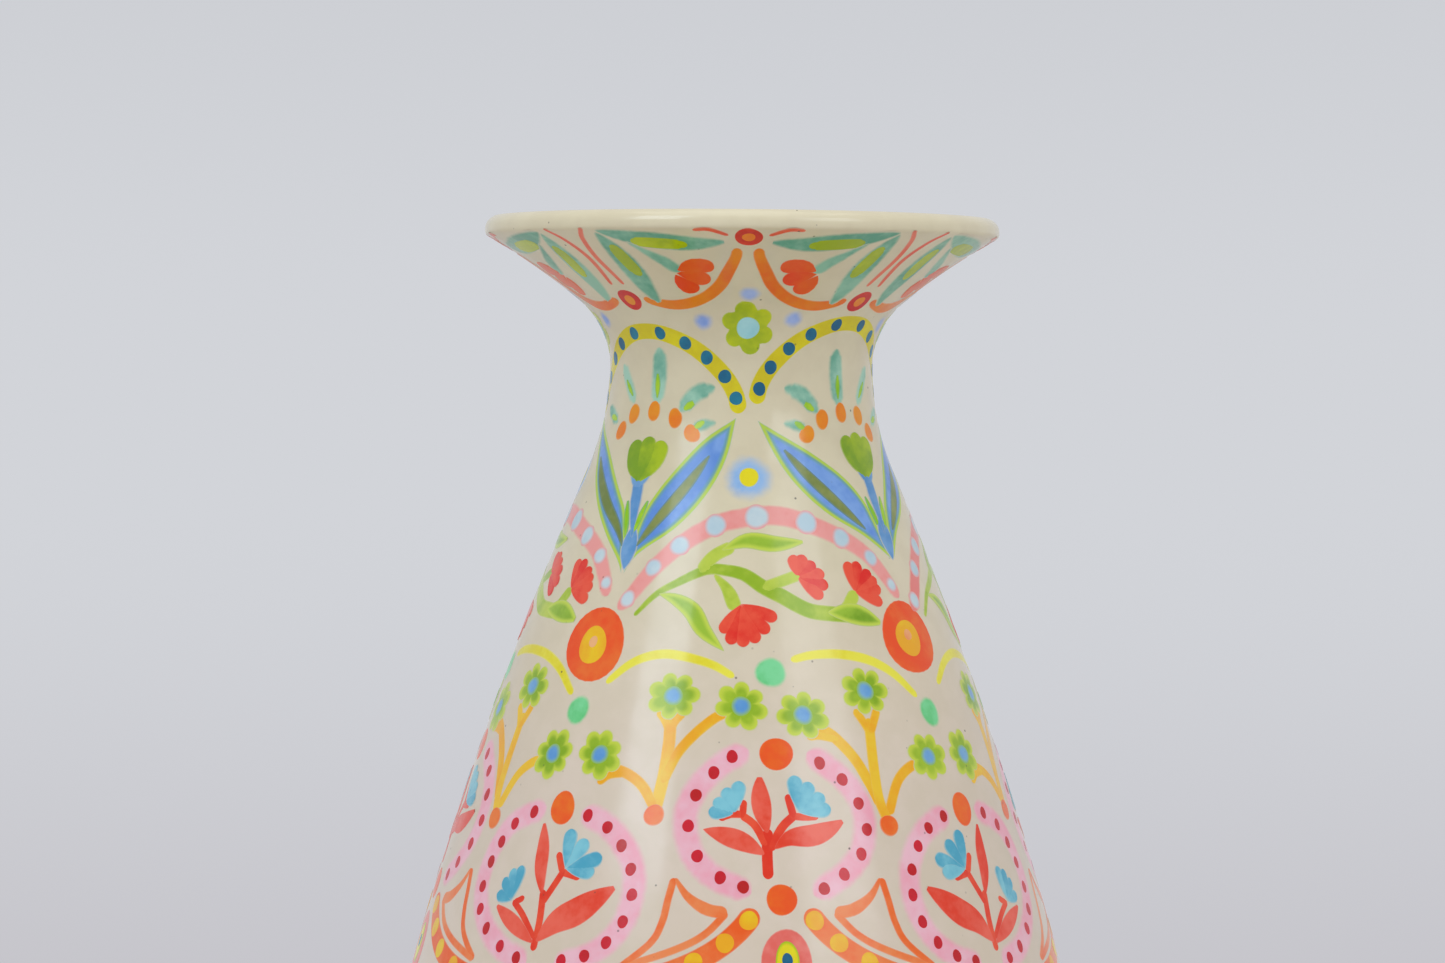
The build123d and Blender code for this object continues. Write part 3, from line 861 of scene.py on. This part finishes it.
SCALLOP = [(-39.6, 241.5), (-36.8, 244.6), (-31.1, 251.3), (-23.5, 257.4), (-13.1, 262.3),
           (-4.0, 264.1), (1.0, 264.7), (8.5, 264.6), (16.6, 263.0), (28.1, 259.4), (36.4, 255.4),
           (41.6, 250.2), (45.2, 244.8)]
SCALLOP_DOTS = [(-37.4, 243.9, 1.9), (-31.1, 251.7, 2.0), (-23.7, 257.2, 2.3), (-12.9, 262.2, 2.5),
                (0.4, 264.4, 2.8), (16.8, 263.1, 2.6), (28.3, 259.3, 2.3), (38.0, 254.4, 1.9),
                (43.7, 247.8, 1.5)]


def paint_scallops(inks):
    scallops = Paint("scallops", inks["coral"], "enamel_scallops")
    dots = Paint("scallop_dots", inks["pale_dot"], "enamel_scallops", 2)
    for centre in quarters(SHOULDER_CENTRE):
        here = at(centre)
        scallops.stroke(here(SCALLOP), 5.2, brushed)
        for angle, height, size in SCALLOP_DOTS:
            dots.spot(here([(angle, height)])[0], size, size * 1.05)
    return [scallops, dots]


VINE_STEMS = [
    ([(-34.2, 240.0), (-29.0, 245.0), (-23.3, 247.9), (-14.9, 251.2), (-9.0, 251.2), (-3.6, 250.1),
      (1.5, 247.2), (6.5, 245.0), (13.6, 241.6), (20.0, 240.7), (29.0, 240.2)], 3.9, slim_start),
    ([(-16.5, 250.8), (-12.9, 254.6), (-7.1, 257.2)], 3.2),
    ([(-12.1, 250.0), (-8.4, 246.4), (-6.0, 241.6)], 3.4, slim_start),
    ([(1.6, 247.0), (6.8, 248.6), (12.2, 250.2)], 2.8),
    ([(21.0, 240.9), (25.7, 242.6), (29.2, 246.0)], 3.2, slim_start),
]
VINE_LEAVES = [
    ([(-11.0, 256.0), (-3.0, 258.5), (6.0, 257.8), (15.8, 258.4)], 4.4),
    ([(-28.4, 245.4), (-22.7, 243.9), (-17.8, 241.1), (-14.3, 236.4), (-8.8, 231.4)], 4.4),
    ([(19.0, 241.0), (27.5, 240.6), (36.4, 238.2)], 5.4),
]
CARNATIONS = [  # where the petals spring from, and their tips
    ((-4.6, 243.0), [(-9.6, 236.0), (4.8, 239.4), (-7.4, 233.2), (2.4, 236.0), (-4.0, 232.6),
                     (-0.6, 233.6)]),
    ((11.6, 249.6), [(11.0, 255.0), (18.4, 244.6), (14.2, 255.0), (20.6, 247.4), (17.4, 253.2),
                     (20.0, 250.6)]),
    ((29.0, 246.0), [(28.6, 253.4), (38.0, 243.4), (32.2, 253.4), (38.6, 246.8), (36.0, 251.2),
                     (37.8, 249.2)]),
]


def paint_vines(inks):
    """A leafy vine under each scallop, carrying three carnations."""
    stems = Paint("vine_stems", inks["vine"], "enamel_vines")
    leaves = Paint("vine_leaves", inks["vine_leaf"], "enamel_vines", 2)
    flowers = Paint("carnations", inks["carnation"], "enamel_carnations", 3)
    for centre in quarters(SHOULDER_CENTRE):
        here = at(centre)
        stems.strokes(here, VINE_STEMS)
        leaves.strokes(here, VINE_LEAVES, leaf)
        for base, tips in CARNATIONS:
            for tip in tips:
                flowers.stroke(here([base, tip]), 3.3, petal)
    return [stems, leaves, flowers]


def paint_targets(inks):
    """Large orange rounds with yellow middles at the feet of the scallops."""
    rounds = Paint("targets", inks["target_orange"], "enamel_targets")
    yolks = Paint("target_yolks", inks["yolk"], "enamel_targets", 2)
    hearts = Paint("target_hearts", inks["salmon"], "enamel_targets", 3)
    for index, centre in enumerate(quarters(SHOULDER_CENTRE - EIGHTH)):
        height = 232.6 + 2.2 * (index % 2)
        rounds.spot((centre, height), 9.2, 9.8)
        yolks.spot((centre - 0.4, height - 0.2), 4.4, 5.0)
        hearts.spot((centre - 0.4, height + 0.6), 1.4, 1.6)
    return [rounds, yolks, hearts]


SHOULDER_ARCS = [
    ([(-38.4, 223.4), (-32.8, 228.0), (-27.0, 230.2), (-20.9, 230.4), (-12.1, 228.3),
      (-6.4, 225.3)], 2.3),
    ([(8.0, 229.4), (13.4, 230.6), (20.6, 230.8), (28.5, 229.5), (35.5, 226.2), (41.8, 220.4)], 2.4),
]


def paint_shoulder_arcs(inks):
    arcs = Paint("shoulder_arcs", inks["lemon"], "enamel_shoulder_arcs")
    dots = Paint("green_dots", inks["green_dot"], "enamel_green_dots")
    for centre in quarters(SHOULDER_CENTRE):
        arcs.strokes(at(centre), SHOULDER_ARCS, brushed)
        dots.spot((centre + 2.6, 226.3), 3.7, 3.8)
        dots.spot((centre + EIGHTH, 216.4), 3.3, 3.7)
    return [arcs, dots]


BUNCHES = [  # stems with their widths, then heads
    ([([(-22.1, 191.8), (-20.9, 200.7), (-20.4, 209.0), (-20.6, 214.5)], 3.1),
      ([(-20.5, 211.5), (-21.6, 214.2), (-23.6, 216.8)], 2.2),
      ([(-20.5, 211.5), (-19.6, 214.2), (-17.6, 216.6)], 2.2),
      ([(-21.0, 199.5), (-18.4, 206.3), (-14.7, 211.3), (-10.7, 215.0), (-8.0, 216.6)], 2.6),
      ([(-22.2, 193.5), (-25.2, 198.4), (-28.7, 201.2), (-32.4, 202.6)], 2.6),
      ([(-29.6, 201.6), (-33.2, 201.0), (-35.6, 199.0)], 2.2)],
     [(-20.5, 220.4, 4.0), (-36.4, 205.8, 24.0), (-4.5, 218.1, -16.0)], (-22.1, 191.6)),
    ([([(26.5, 189.7), (25.1, 195.8), (25.1, 203.6), (25.6, 211.9), (25.8, 215.0)], 2.8),
      ([(25.6, 211.5), (24.4, 214.2), (22.6, 217.2)], 2.2),
      ([(25.6, 211.5), (27.0, 214.2), (28.6, 217.4)], 2.2),
      ([(25.3, 194.0), (21.4, 204.2), (16.8, 210.4), (13.4, 212.8)], 2.9),
      ([(17.4, 210.2), (13.0, 211.2), (10.2, 210.8)], 2.4),
      ([(26.9, 192.0), (30.4, 199.6), (34.6, 203.2), (38.2, 204.0)], 2.6)],
     [(26.2, 221.8, 0.0), (9.7, 216.0, -20.0), (40.7, 205.6, 12.0)], (26.5, 189.2)),
]


def paint_bunches(inks):
    """Amber stems of three spring flowers on each side of the high medallions."""
    stems = Paint("bouquet_stems", inks["stem_amber"], "enamel_bouquet_stems")
    feet = Paint("bouquet_feet", inks["foot_orange"], "enamel_bouquet_stems", 2)
    petals = Paint("bouquet_petals", inks["spring_green"], "enamel_bouquet_flowers", 2)
    middles = Paint("bouquet_middles", inks["sky"], "enamel_bouquet_flowers", 4)
    for centre in quarters(SHOULDER_CENTRE):
        here = at(centre)
        for lines, heads, foot in BUNCHES:
            stems.strokes(here, lines)
            for angle, height, turn in heads:
                petals.spot((centre + angle, height), 6.5, outline=rosette(7, turn, 0.3))
                middles.spot((centre + angle, height), 2.0)
            feet.spot(here([foot])[0], 2.5, 2.7)
    return [stems, feet, petals, middles]


HIGH_RINGS = [
    [(-5.4, 207.2), (-9.9, 204.6), (-14.6, 199.7), (-17.1, 194.2), (-17.5, 189.1), (-15.6, 182.1),
     (-11.5, 177.0), (-5.0, 173.4)],
    [(8.4, 206.6), (12.4, 203.4), (16.6, 198.9), (18.8, 193.7), (18.9, 188.3), (17.3, 182.7),
     (13.4, 177.6), (7.6, 173.0)],
]
HIGH_RING_DOTS = [(-8.4, 205.9), (-12.2, 202.0), (-15.7, 196.5), (-16.9, 189.1), (-14.8, 181.9),
                  (-10.3, 176.8), (-6.0, 174.6), (10.5, 204.4), (15.2, 200.4), (18.2, 194.6),
                  (19.3, 188.3), (17.4, 182.4), (13.4, 177.6), (9.2, 174.2)]
HIGH_SPRIG = {
    "stems": [([(-1.3, 176.6), (-1.4, 182.8), (-1.2, 188.5)], 2.7),
              ([(-1.5, 184.5), (-3.7, 189.4), (-6.4, 191.9)], 2.0),
              ([(-0.9, 183.4), (1.6, 188.8), (4.4, 192.0)], 2.2),
              ([(-6.0, 192.0), (-8.6, 192.0), (-10.8, 190.9)], 1.9),
              ([(-6.2, 191.2), (-6.0, 193.4), (-5.9, 195.4)], 1.7),
              ([(4.0, 191.6), (6.6, 191.4), (9.2, 191.6)], 1.9),
              ([(4.2, 191.2), (3.6, 194.0), (3.1, 196.8)], 1.9)],
    "leaves": [([(-1.2, 187.0), (-2.2, 193.2), (-2.6, 197.6), (-2.6, 202.0)], 4.8),
               ([(-0.2, 183.6), (3.1, 186.3), (7.7, 187.0), (11.1, 188.4), (14.9, 190.8)], 5.4),
               ([(-1.6, 182.2), (-5.9, 185.3), (-10.4, 187.2), (-14.0, 188.4)], 5.0)],
    "blooms": [((5.4, 192.4), [(4.6, 201.2), (11.8, 193.4), (7.9, 199.6), (10.6, 196.6)], 3.7),
               ((-7.8, 192.2), [(-6.8, 199.8), (-12.8, 192.6), (-9.6, 198.2), (-11.8, 195.4)], 3.4)],
}
LOW_RINGS = [
    [(-6.0, 192.4), (-13.6, 188.8), (-17.3, 184.1), (-19.2, 178.4), (-19.3, 172.2), (-17.3, 166.7),
     (-13.7, 161.9), (-8.9, 157.8), (-3.0, 155.2)],
    [(4.4, 191.8), (10.4, 188.5), (14.5, 183.9), (16.9, 178.5), (17.4, 172.3), (16.2, 165.7),
     (13.2, 160.3), (9.2, 157.0), (4.0, 155.2)],
]
LOW_RING_DOTS = [(-8.7, 191.3), (-13.7, 188.2), (-16.5, 183.6), (-18.3, 178.6), (-19.0, 172.5),
                 (-17.9, 167.0), (-14.6, 162.5), (-9.7, 158.5), (-5.1, 156.0), (5.4, 191.0),
                 (10.3, 188.3), (13.9, 184.0), (16.4, 178.4), (17.2, 172.3), (16.0, 165.8),
                 (13.3, 160.7), (9.4, 157.3), (4.9, 155.9)]
LOW_SPRIG = {
    "stems": [([(-1.6, 158.0), (-1.3, 164.9), (-1.8, 172.6)], 2.1),
              ([(-1.5, 169.5), (0.8, 174.6), (2.2, 177.8)], 1.9),
              ([(-2.0, 161.0), (-5.5, 166.2), (-8.8, 169.6)], 1.8),
              ([(1.8, 177.2), (4.0, 176.6), (6.0, 176.0)], 2.0),
              ([(1.8, 177.2), (0.9, 179.6), (0.1, 181.8)], 1.9),
              ([(-8.6, 169.2), (-7.4, 169.8), (-6.2, 170.6)], 1.7)],
    "leaves": [([(-1.8, 171.0), (-3.5, 177.6), (-4.1, 183.2), (-5.3, 189.6)], 4.2),
               ([(-1.6, 159.8), (2.3, 165.0), (6.4, 167.8), (10.3, 171.1), (14.2, 174.4)], 7.2),
               ([(-1.6, 159.6), (-7.3, 164.0), (-13.6, 168.6)], 4.2)],
    "blooms": [((2.4, 178.0), [(2.2, 187.4), (8.8, 177.4), (6.2, 185.0), (10.0, 181.0)], 3.8),
               ((-9.4, 169.6), [(-13.6, 171.0), (-8.4, 178.0), (-12.6, 174.8), (-10.6, 177.2)], 3.1)],
}


def paint_medallions(inks):
    """Pink rings dotted with red about a red sprig with two turquoise blooms."""
    rings = Paint("medallion_rings", inks["pink"], "enamel_medallion_rings")
    ring_dots = Paint("medallion_ring_dots", inks["crimson"], "enamel_medallion_rings", 2)
    stems = Paint("medallion_stems", inks["sprig_red"], "enamel_medallion_sprigs")
    leaves = Paint("medallion_leaves", inks["sprig_leaf"], "enamel_medallion_sprigs", 2)
    blooms = Paint("medallion_blooms", inks["turquoise"], "enamel_medallion_blossoms", 3)
    dots = Paint("orange_dots", inks["orange_dot"], "enamel_orange_dots")

    def medallion(here, ring_lines, dot_places, sprig):
        for line in ring_lines:
            rings.stroke(here(line), 6.1)
        for place in here(dot_places):
            ring_dots.spot(place, 1.5, 1.75)
        stems.strokes(here, sprig["stems"])
        leaves.strokes(here, sprig["leaves"], leaf)
        for base, tips, width in sprig["blooms"]:
            for tip in tips:
                blooms.stroke(here([base, tip]), width, petal)

    for index, centre in enumerate(quarters(MEDALLION_CENTRE)):
        medallion(at(centre), HIGH_RINGS, HIGH_RING_DOTS, HIGH_SPRIG)
        dots.spot((centre + 1.1, 206.6), 4.1, 4.2)
        dots.spot((centre + 1.1, 171.6), 3.7, 4.0)
        side = 1 if index % 2 == 0 else -1
        low = centre - EIGHTH + (1.0 if side == 1 else -0.5)
        medallion(at(low, side), LOW_RINGS, LOW_RING_DOTS, LOW_SPRIG)
        dots.spot((low - 1.2 * side, 192.6), 3.7, 4.3)
    return [rings, ring_dots, stems, leaves, blooms, dots]


GARLAND = [(4.8, 169.0), (7.6, 164.3), (11.6, 159.7), (17.0, 155.6), (24.0, 152.2), (33.0, 149.8),
           (45.0, 149.0)]
TRIANGLE = [
    ([(20.0, 176.4), (20.8, 171.6), (21.6, 166.0), (23.4, 161.0), (28.6, 154.9)], 1.8),
    ([(19.7, 176.4), (17.2, 172.2), (13.6, 169.2), (10.0, 168.4)], 3.0, slim_start),
    ([(10.0, 168.4), (14.0, 163.0), (19.4, 159.2), (28.4, 154.9)], 1.8),
]
GARLAND_DOTS = [(6.0, 166.6), (10.2, 161.2), (15.6, 156.5), (22.4, 152.8), (29.8, 150.5),
                (37.4, 149.3)]


def paint_belly(inks):
    """The beaded garland, the nested ovals over it and the curved triangles above."""
    garland = Paint("garland", inks["garland_red"], "enamel_belly_garland")
    beads = Paint("garland_beads", inks["yolk"], "enamel_belly_garland", 2)
    outlines = Paint("belly_triangles", inks["orange_line"], "enamel_belly_triangles")
    shells = Paint("seed_shells", inks["coral_deep"], "enamel_belly_seeds")
    kernels = Paint("seed_kernels", inks["lemon_rim"], "enamel_belly_seeds", 2)
    eyes = Paint("seed_eyes", inks["navy"], "enamel_belly_seeds", 3)
    for centre in quarters(BELLY_CENTRE):
        here = at(centre)
        far_half = [(QUARTER - angle, height) for angle, height in GARLAND[:-1]]
        garland.stroke(here(GARLAND + far_half[::-1]), 5.3)
        for side, start in ((1, 0.0), (-1, QUARTER)):
            for place in at(centre + start, side)(GARLAND_DOTS):
                beads.spot(place, 2.4, 2.5)
        beads.spot((centre + EIGHTH, 149.0), 2.4, 2.5)
        for side in (-1, 1):
            outlines.strokes(at(centre, side), TRIANGLE)
        shells.spot((centre + 0.7, 156.2), 6.2, 9.0)
        kernels.spot((centre + 0.7, 156.8), 3.0, 5.4)
        eyes.spot((centre + 0.7, 157.2), 1.4, 2.0)
    return [garland, beads, outlines, shells, kernels, eyes]


SMALL_ARCH = [(-19.0, 66.0), (-16.5, 73.0), (-10.5, 79.5), (0.0, 82.0), (10.5, 79.5), (16.5, 73.0),
              (19.0, 66.0)]
SMALL_ARCH_DOTS = [(-17.6, 70.2), (-12.0, 78.0), (0.0, 81.8), (12.0, 78.0), (17.6, 70.2)]
LOWER_LEAF = ([(0.2, 85.0), (2.6, 95.0), (8.0, 105.0), (17.0, 113.0)],      # inner side
              [(0.2, 85.0), (8.4, 90.0), (14.4, 99.0), (17.0, 113.0)])      # outer side
LOWER_RIB = [(3.0, 90.6), (8.0, 97.8), (13.0, 106.0)]
FOOT_PETAL = [(0.0, 20.0), (0.0, 38.0), (0.0, 57.0)]
FOOT_CORE = [(0.0, 27.0), (0.0, 36.0), (0.0, 47.0)]
FOOT_LINE_HEIGHT = 12.4


def paint_lower(inks):
    """The plainer bands between the belly and the foot."""
    petals = Paint("belly_flower_petals", inks["lime"], "enamel_belly_flowers", 2)
    middles = Paint("belly_flower_middles", inks["pale_blue"], "enamel_belly_flowers", 4)
    fans = Paint("belly_fan_dots", inks["fan_orange"], "enamel_belly_flowers", 2)
    drops = Paint("belly_fan_drops", inks["mist_teal"], "enamel_belly_flowers")
    leaves = Paint("lower_leaves", inks["banded_leaf"], "enamel_lower_leaves")
    ribs = Paint("lower_leaf_ribs", inks["olive"], "enamel_lower_leaves", 2)
    arches = Paint("lower_scallops", inks["coral"], "enamel_lower_scallops")
    dots = Paint("lower_scallop_dots", inks["pale_dot"], "enamel_lower_scallops", 2)
    foot = Paint("foot_petals", inks["vine_leaf"], "enamel_foot_petals")
    cores = Paint("foot_petal_cores", inks["vermilion"], "enamel_foot_petals", 2)
    lines = Paint("foot_line", inks["lemon"], "enamel_foot_line")
    for k in range(8):
        centre = BELLY_CENTRE + EIGHTH * k
        here, between = at(centre), at(centre + EIGHTH / 2)
        rise = 0.0 if k % 2 else 5.0
        for angle in (-12.0, -6.0, 0.0, 6.0, 12.0):
            sag = -0.035 * angle**2
            fans.spot((centre + angle, 119.0 + rise + sag), 2.2, 2.9, angle * 2)
            far = angle * 1.45
            drops.stroke(here([(angle, 122.6 + rise + sag),
                               (far, 132.0 + rise + 1.6 * sag)]), 4.4, petal)
        petals.spot((centre + EIGHTH / 2, 127.0), 7.8, outline=rosette(6, 10.0 * k, 0.34))
        middles.spot((centre + EIGHTH / 2, 127.0), 3.2)
        for side in (-1, 1):
            there = at(centre, side)
            leaves.panel(*map(there, LOWER_LEAF))
            ribs.stroke(there(LOWER_RIB), 3.2, leaf)
        middles.spot((centre + EIGHTH / 2, 104.0), 3.0)
        arches.stroke(between(SMALL_ARCH), 5.2, brushed)
        for place in between(SMALL_ARCH_DOTS):
            dots.spot(place, 2.1, 2.2)
        fans.spot((centre + EIGHTH / 2, 71.0), 3.2, 3.6)
    for k in range(16):
        here = at(BELLY_CENTRE + EIGHTH / 2 * k)
        foot.stroke(here(FOOT_PETAL), 10.4, leaf)
        cores.stroke(here(FOOT_CORE), 3.4, leaf)
    lines.stroke([(angle, FOOT_LINE_HEIGHT) for angle in np.linspace(0.0, 360.0, 73)], 2.2)
    return [petals, middles, fans, drops, leaves, ribs, arches, dots, foot, cores, lines]


# ---- colours

# Light tone, deep tone, softness in millimetres, then where needed the enamel underneath
# and the tones along the edge as (from, to, colour), grouped by family of enamel.
INKS = {
    "enamel_orange": {
        "orange": ((236, 128, 38), (228, 102, 16), 0.5),
        "fan_orange": ((250, 140, 10), (244, 118, 0), 0.4),
        "orange_dot": ((238, 112, 40), (228, 84, 18), 0.4),
        "amber": ((236, 146, 24), (224, 114, 12), 0.3, (200, 52, 34)),
        "target_orange": ((232, 106, 50), (222, 78, 28), 0.5),
        "stem_amber": ((234, 180, 52), (228, 156, 34), 0.5),
        "foot_orange": ((236, 118, 54), (226, 94, 38), 0.5),
        "orange_line": ((238, 128, 78), (230, 100, 48), 0.45),
    },
    "enamel_red": {
        "vermilion": ((234, 96, 44), (220, 70, 22), 0.35),
        "red": ((212, 66, 46), (190, 42, 28), 0.3),
        "carnation": ((228, 84, 62), (210, 46, 28), 0.35),
        "crimson": ((192, 42, 54), (174, 26, 40), 0.3, (214, 130, 146)),
        "sprig_red": ((222, 84, 58), (210, 56, 34), 0.3),
        "sprig_leaf": ((224, 98, 80), (212, 62, 42), 0.35),
    },
    "enamel_coral": {
        "coral_line": ((226, 112, 86), (214, 84, 58), 0.5),
        "coral": ((228, 148, 142), (216, 122, 116), 1.0),
        "coral_deep": ((226, 128, 118), (212, 98, 88), 0.5),
        "salmon": ((240, 166, 116), (232, 140, 92), 0.4, (238, 170, 20)),
        "garland_red": ((234, 118, 66), (226, 90, 36), 0.5),
    },
    "enamel_pink": {
        "pink": ((236, 174, 184), (228, 152, 166), 1.9),
    },
    "enamel_yellow": {
        "yellow": ((212, 200, 20), (198, 182, 6), 0.4),
        "yellow_dot": ((218, 204, 24), (204, 186, 10), 0.5, (120, 168, 196)),
        "lemon": ((218, 210, 72), (208, 194, 30), 0.6),
        "yolk": ((240, 184, 30), (234, 158, 10), 0.3, (224, 104, 30)),
        "lemon_rim": ((222, 210, 30), (210, 196, 12), 0.3, (150, 170, 60),
                      [(0.2, 0.9, (150, 180, 36))]),
    },
    "enamel_green": {
        "teal": ((136, 182, 156), (88, 150, 124), 1.4),
        "mist_teal": ((156, 196, 174), (104, 162, 140), 1.4),
        "lime": ((184, 194, 34), (150, 170, 10), 0.5),
        "heart_lime": ((176, 190, 36), (150, 168, 14), 0.5, (104, 150, 96)),
        "bright_lime": ((170, 200, 56), (130, 182, 40), 0.7, (112, 166, 120)),
        "leaf_green": ((160, 182, 36), (118, 152, 18), 0.5),
        "olive": ((134, 142, 84), (106, 122, 64), 0.9, (88, 128, 150)),
        "vine": ((176, 192, 74), (138, 168, 46), 0.6),
        "green_dot": ((120, 200, 142), (90, 182, 110), 1.2),
        "vine_leaf": ((146, 178, 58), (112, 150, 40), 0.6, None, [(0.5, 1.8, (182, 198, 76))]),
        "spring_green": ((154, 180, 52), (126, 160, 40), 0.7, None, [(0.8, 2.8, (180, 194, 68))]),
    },
    "enamel_blue": {
        "navy": ((44, 120, 146), (24, 92, 124), 0.35, (90, 140, 70)),
        "pale_blue": ((164, 208, 210), (140, 194, 200), 0.4, (160, 184, 90)),
        "pale_dot": ((186, 200, 204), (168, 190, 200), 1.2, (216, 152, 148)),
        "blue_haze": ((158, 176, 216), (126, 152, 208), 2.2),
        "halo_blue": ((142, 176, 214), (114, 156, 206), 3.8),
        "soft_blue": ((116, 156, 196), (84, 134, 184), 0.8),
        "sky": ((116, 162, 198), (88, 140, 192), 1.5, (138, 174, 84)),
        "turquoise": ((122, 184, 196), (76, 152, 176), 0.6),
        "banded_leaf": ((122, 158, 212), (92, 134, 200), 0.4, None,
                        [(1.2, 2.4, (104, 152, 150)), (0.8, 1.5, (170, 194, 78))]),
    },
}


def mix_inks(cream):
    """The paints by name: slot, material and softness."""
    return {
        name: (slot, enamel(name, cream, *parts), parts[2])
        for slot, paints in INKS.items() for name, parts in paints.items()
    }


# ---- camera, light and floor

LENS = 182.0
SENSOR = 36.0
CAMERA_PLACE = (-0.00448, -1.85, 0.2731)
CAMERA_ROLL = -0.0079      # radians
SOFTBOXES = [              # name, place, size, power in watts, colour
    ("left_box", (-1.03, -1.14, 1.49), (0.72, 0.95), 7.2, (0.76, 0.89, 1.0)),
    ("right_box", (1.09, -1.25, 1.32), (0.9, 0.8), 4.6, (0.9, 0.96, 1.0)),
    ("top_box", (0, -0.3, 1.9), (1.6, 1.6), 6, (1.0, 1.0, 1.0)),
]
LIGHT_AIM = (0, 0, 0.2)
BACKDROP = (210, 212, 217)         # just above the level of the camera
BACKDROP_HIGH = (205, 207, 212)
BACKDROP_LOW = (194, 192, 198)
BACKDROP_UNDER = (192, 178, 154)   # warm light from far below
FLOOR_RADIUS = 2.1
FLOOR_TONES = ((214, 210, 206), (218, 214, 210))


def add_camera():
    data = bpy.data.cameras.new("camera")
    data.lens, data.sensor_width = LENS, SENSOR
    camera = bpy.data.objects.new("camera", data)
    camera.location = CAMERA_PLACE
    camera.rotation_euler = (math.radians(90), CAMERA_ROLL, 0)
    bpy.context.scene.collection.objects.link(camera)
    bpy.context.scene.camera = camera


def add_softbox(name, place, size, power, colour, aim):
    data = bpy.data.lights.new(name, "AREA")
    data.shape = "RECTANGLE"
    data.size, data.size_y = size
    data.energy = power
    data.color = colour
    light = bpy.data.objects.new(name, data)
    light.location = place
    way = [b - a for a, b in zip(place, aim)]
    flat = math.hypot(way[0], way[1])
    light.rotation_euler = (math.pi / 2 + math.atan2(way[2], flat), 0,
                            math.atan2(way[1], way[0]) - math.pi / 2)
    bpy.context.scene.collection.objects.link(light)


def add_lights():
    for light in SOFTBOXES:
        add_softbox(*light, aim=LIGHT_AIM)


def add_world():
    """A plain grey studio: the same tone behind, a little darker towards the floor."""
    world = bpy.data.worlds.new("studio")
    bpy.context.scene.world = world
    world.use_nodes = True
    world.node_tree.nodes.clear()
    n = Nodes(world.node_tree)
    way = n.add("ShaderNodeTexCoord").outputs["Generated"]
    split = n.add("ShaderNodeSeparateXYZ")
    n.link(way, split.inputs[0])
    rise = split.outputs["Z"]
    colour = n.mix(n.spread(rise, -0.10, 0.0), linear(BACKDROP_LOW), linear(BACKDROP))
    colour = n.mix(n.spread(rise, 0.02, 0.08), colour, linear(BACKDROP_HIGH))
    colour = n.mix(n.spread(rise, -0.5, -0.1, 1.0, 0.0), colour, linear(BACKDROP_UNDER))
    background = n.add("ShaderNodeBackground")
    n.link(colour, background.inputs["Color"])
    out = n.add("ShaderNodeOutputWorld")
    n.link(background.outputs[0], out.inputs["Surface"])


def add_floor():
    material, n = new_material("pale_floor")
    space = n.add("ShaderNodeTexCoord").outputs["Object"]
    colour = n.mix(n.noise(space, 6.0), *map(linear, FLOOR_TONES))
    shader(n, colour, 0.8)
    turn = np.linspace(0, 2 * np.pi, 128, endpoint=False)
    ring = [(FLOOR_RADIUS * math.cos(a), FLOOR_RADIUS * math.sin(a), 0.0) for a in turn]
    mesh = bpy.data.meshes.new("floor")
    mesh.from_pydata(ring, [], [tuple(range(len(ring)))])
    mesh.materials.append(material)
    floor = bpy.data.objects.new("floor", mesh)
    bpy.context.scene.collection.objects.link(floor)
    floor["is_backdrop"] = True


# ---- the scene

def corners(box):
    return [[round(float(x), 6) for x in corner] for corner in box]


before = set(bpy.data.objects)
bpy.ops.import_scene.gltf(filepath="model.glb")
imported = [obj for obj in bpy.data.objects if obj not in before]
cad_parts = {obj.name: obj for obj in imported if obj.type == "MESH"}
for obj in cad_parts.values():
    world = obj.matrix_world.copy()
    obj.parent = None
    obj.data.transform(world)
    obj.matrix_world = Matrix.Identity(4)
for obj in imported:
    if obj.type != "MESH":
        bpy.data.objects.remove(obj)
cad_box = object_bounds()

bpy.context.scene.view_settings.view_transform = "Standard"
add_camera()
add_lights()
add_world()
add_floor()

cream = cream_group()
glaze_coat(cream_glaze(cream))
clay = bare_clay()
for node in ("foot_ring", "base_section", "shoulder_section", "neck_section"):
    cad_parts[node].data.materials.clear()
    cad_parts[node].data.materials.append(clay)

inks = mix_inks(cream)
PAINTERS = (
    paint_flare, paint_neck_arches, paint_neck_flowers, paint_neck_leaves, paint_halo_dots,
    paint_scallops, paint_vines, paint_targets, paint_shoulder_arcs, paint_bunches,
    paint_medallions, paint_belly, paint_lower,
)
for painter in PAINTERS:
    for paint in painter(inks):
        paint.piece()

{"cad": corners(cad_box), "visual": corners(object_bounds())}
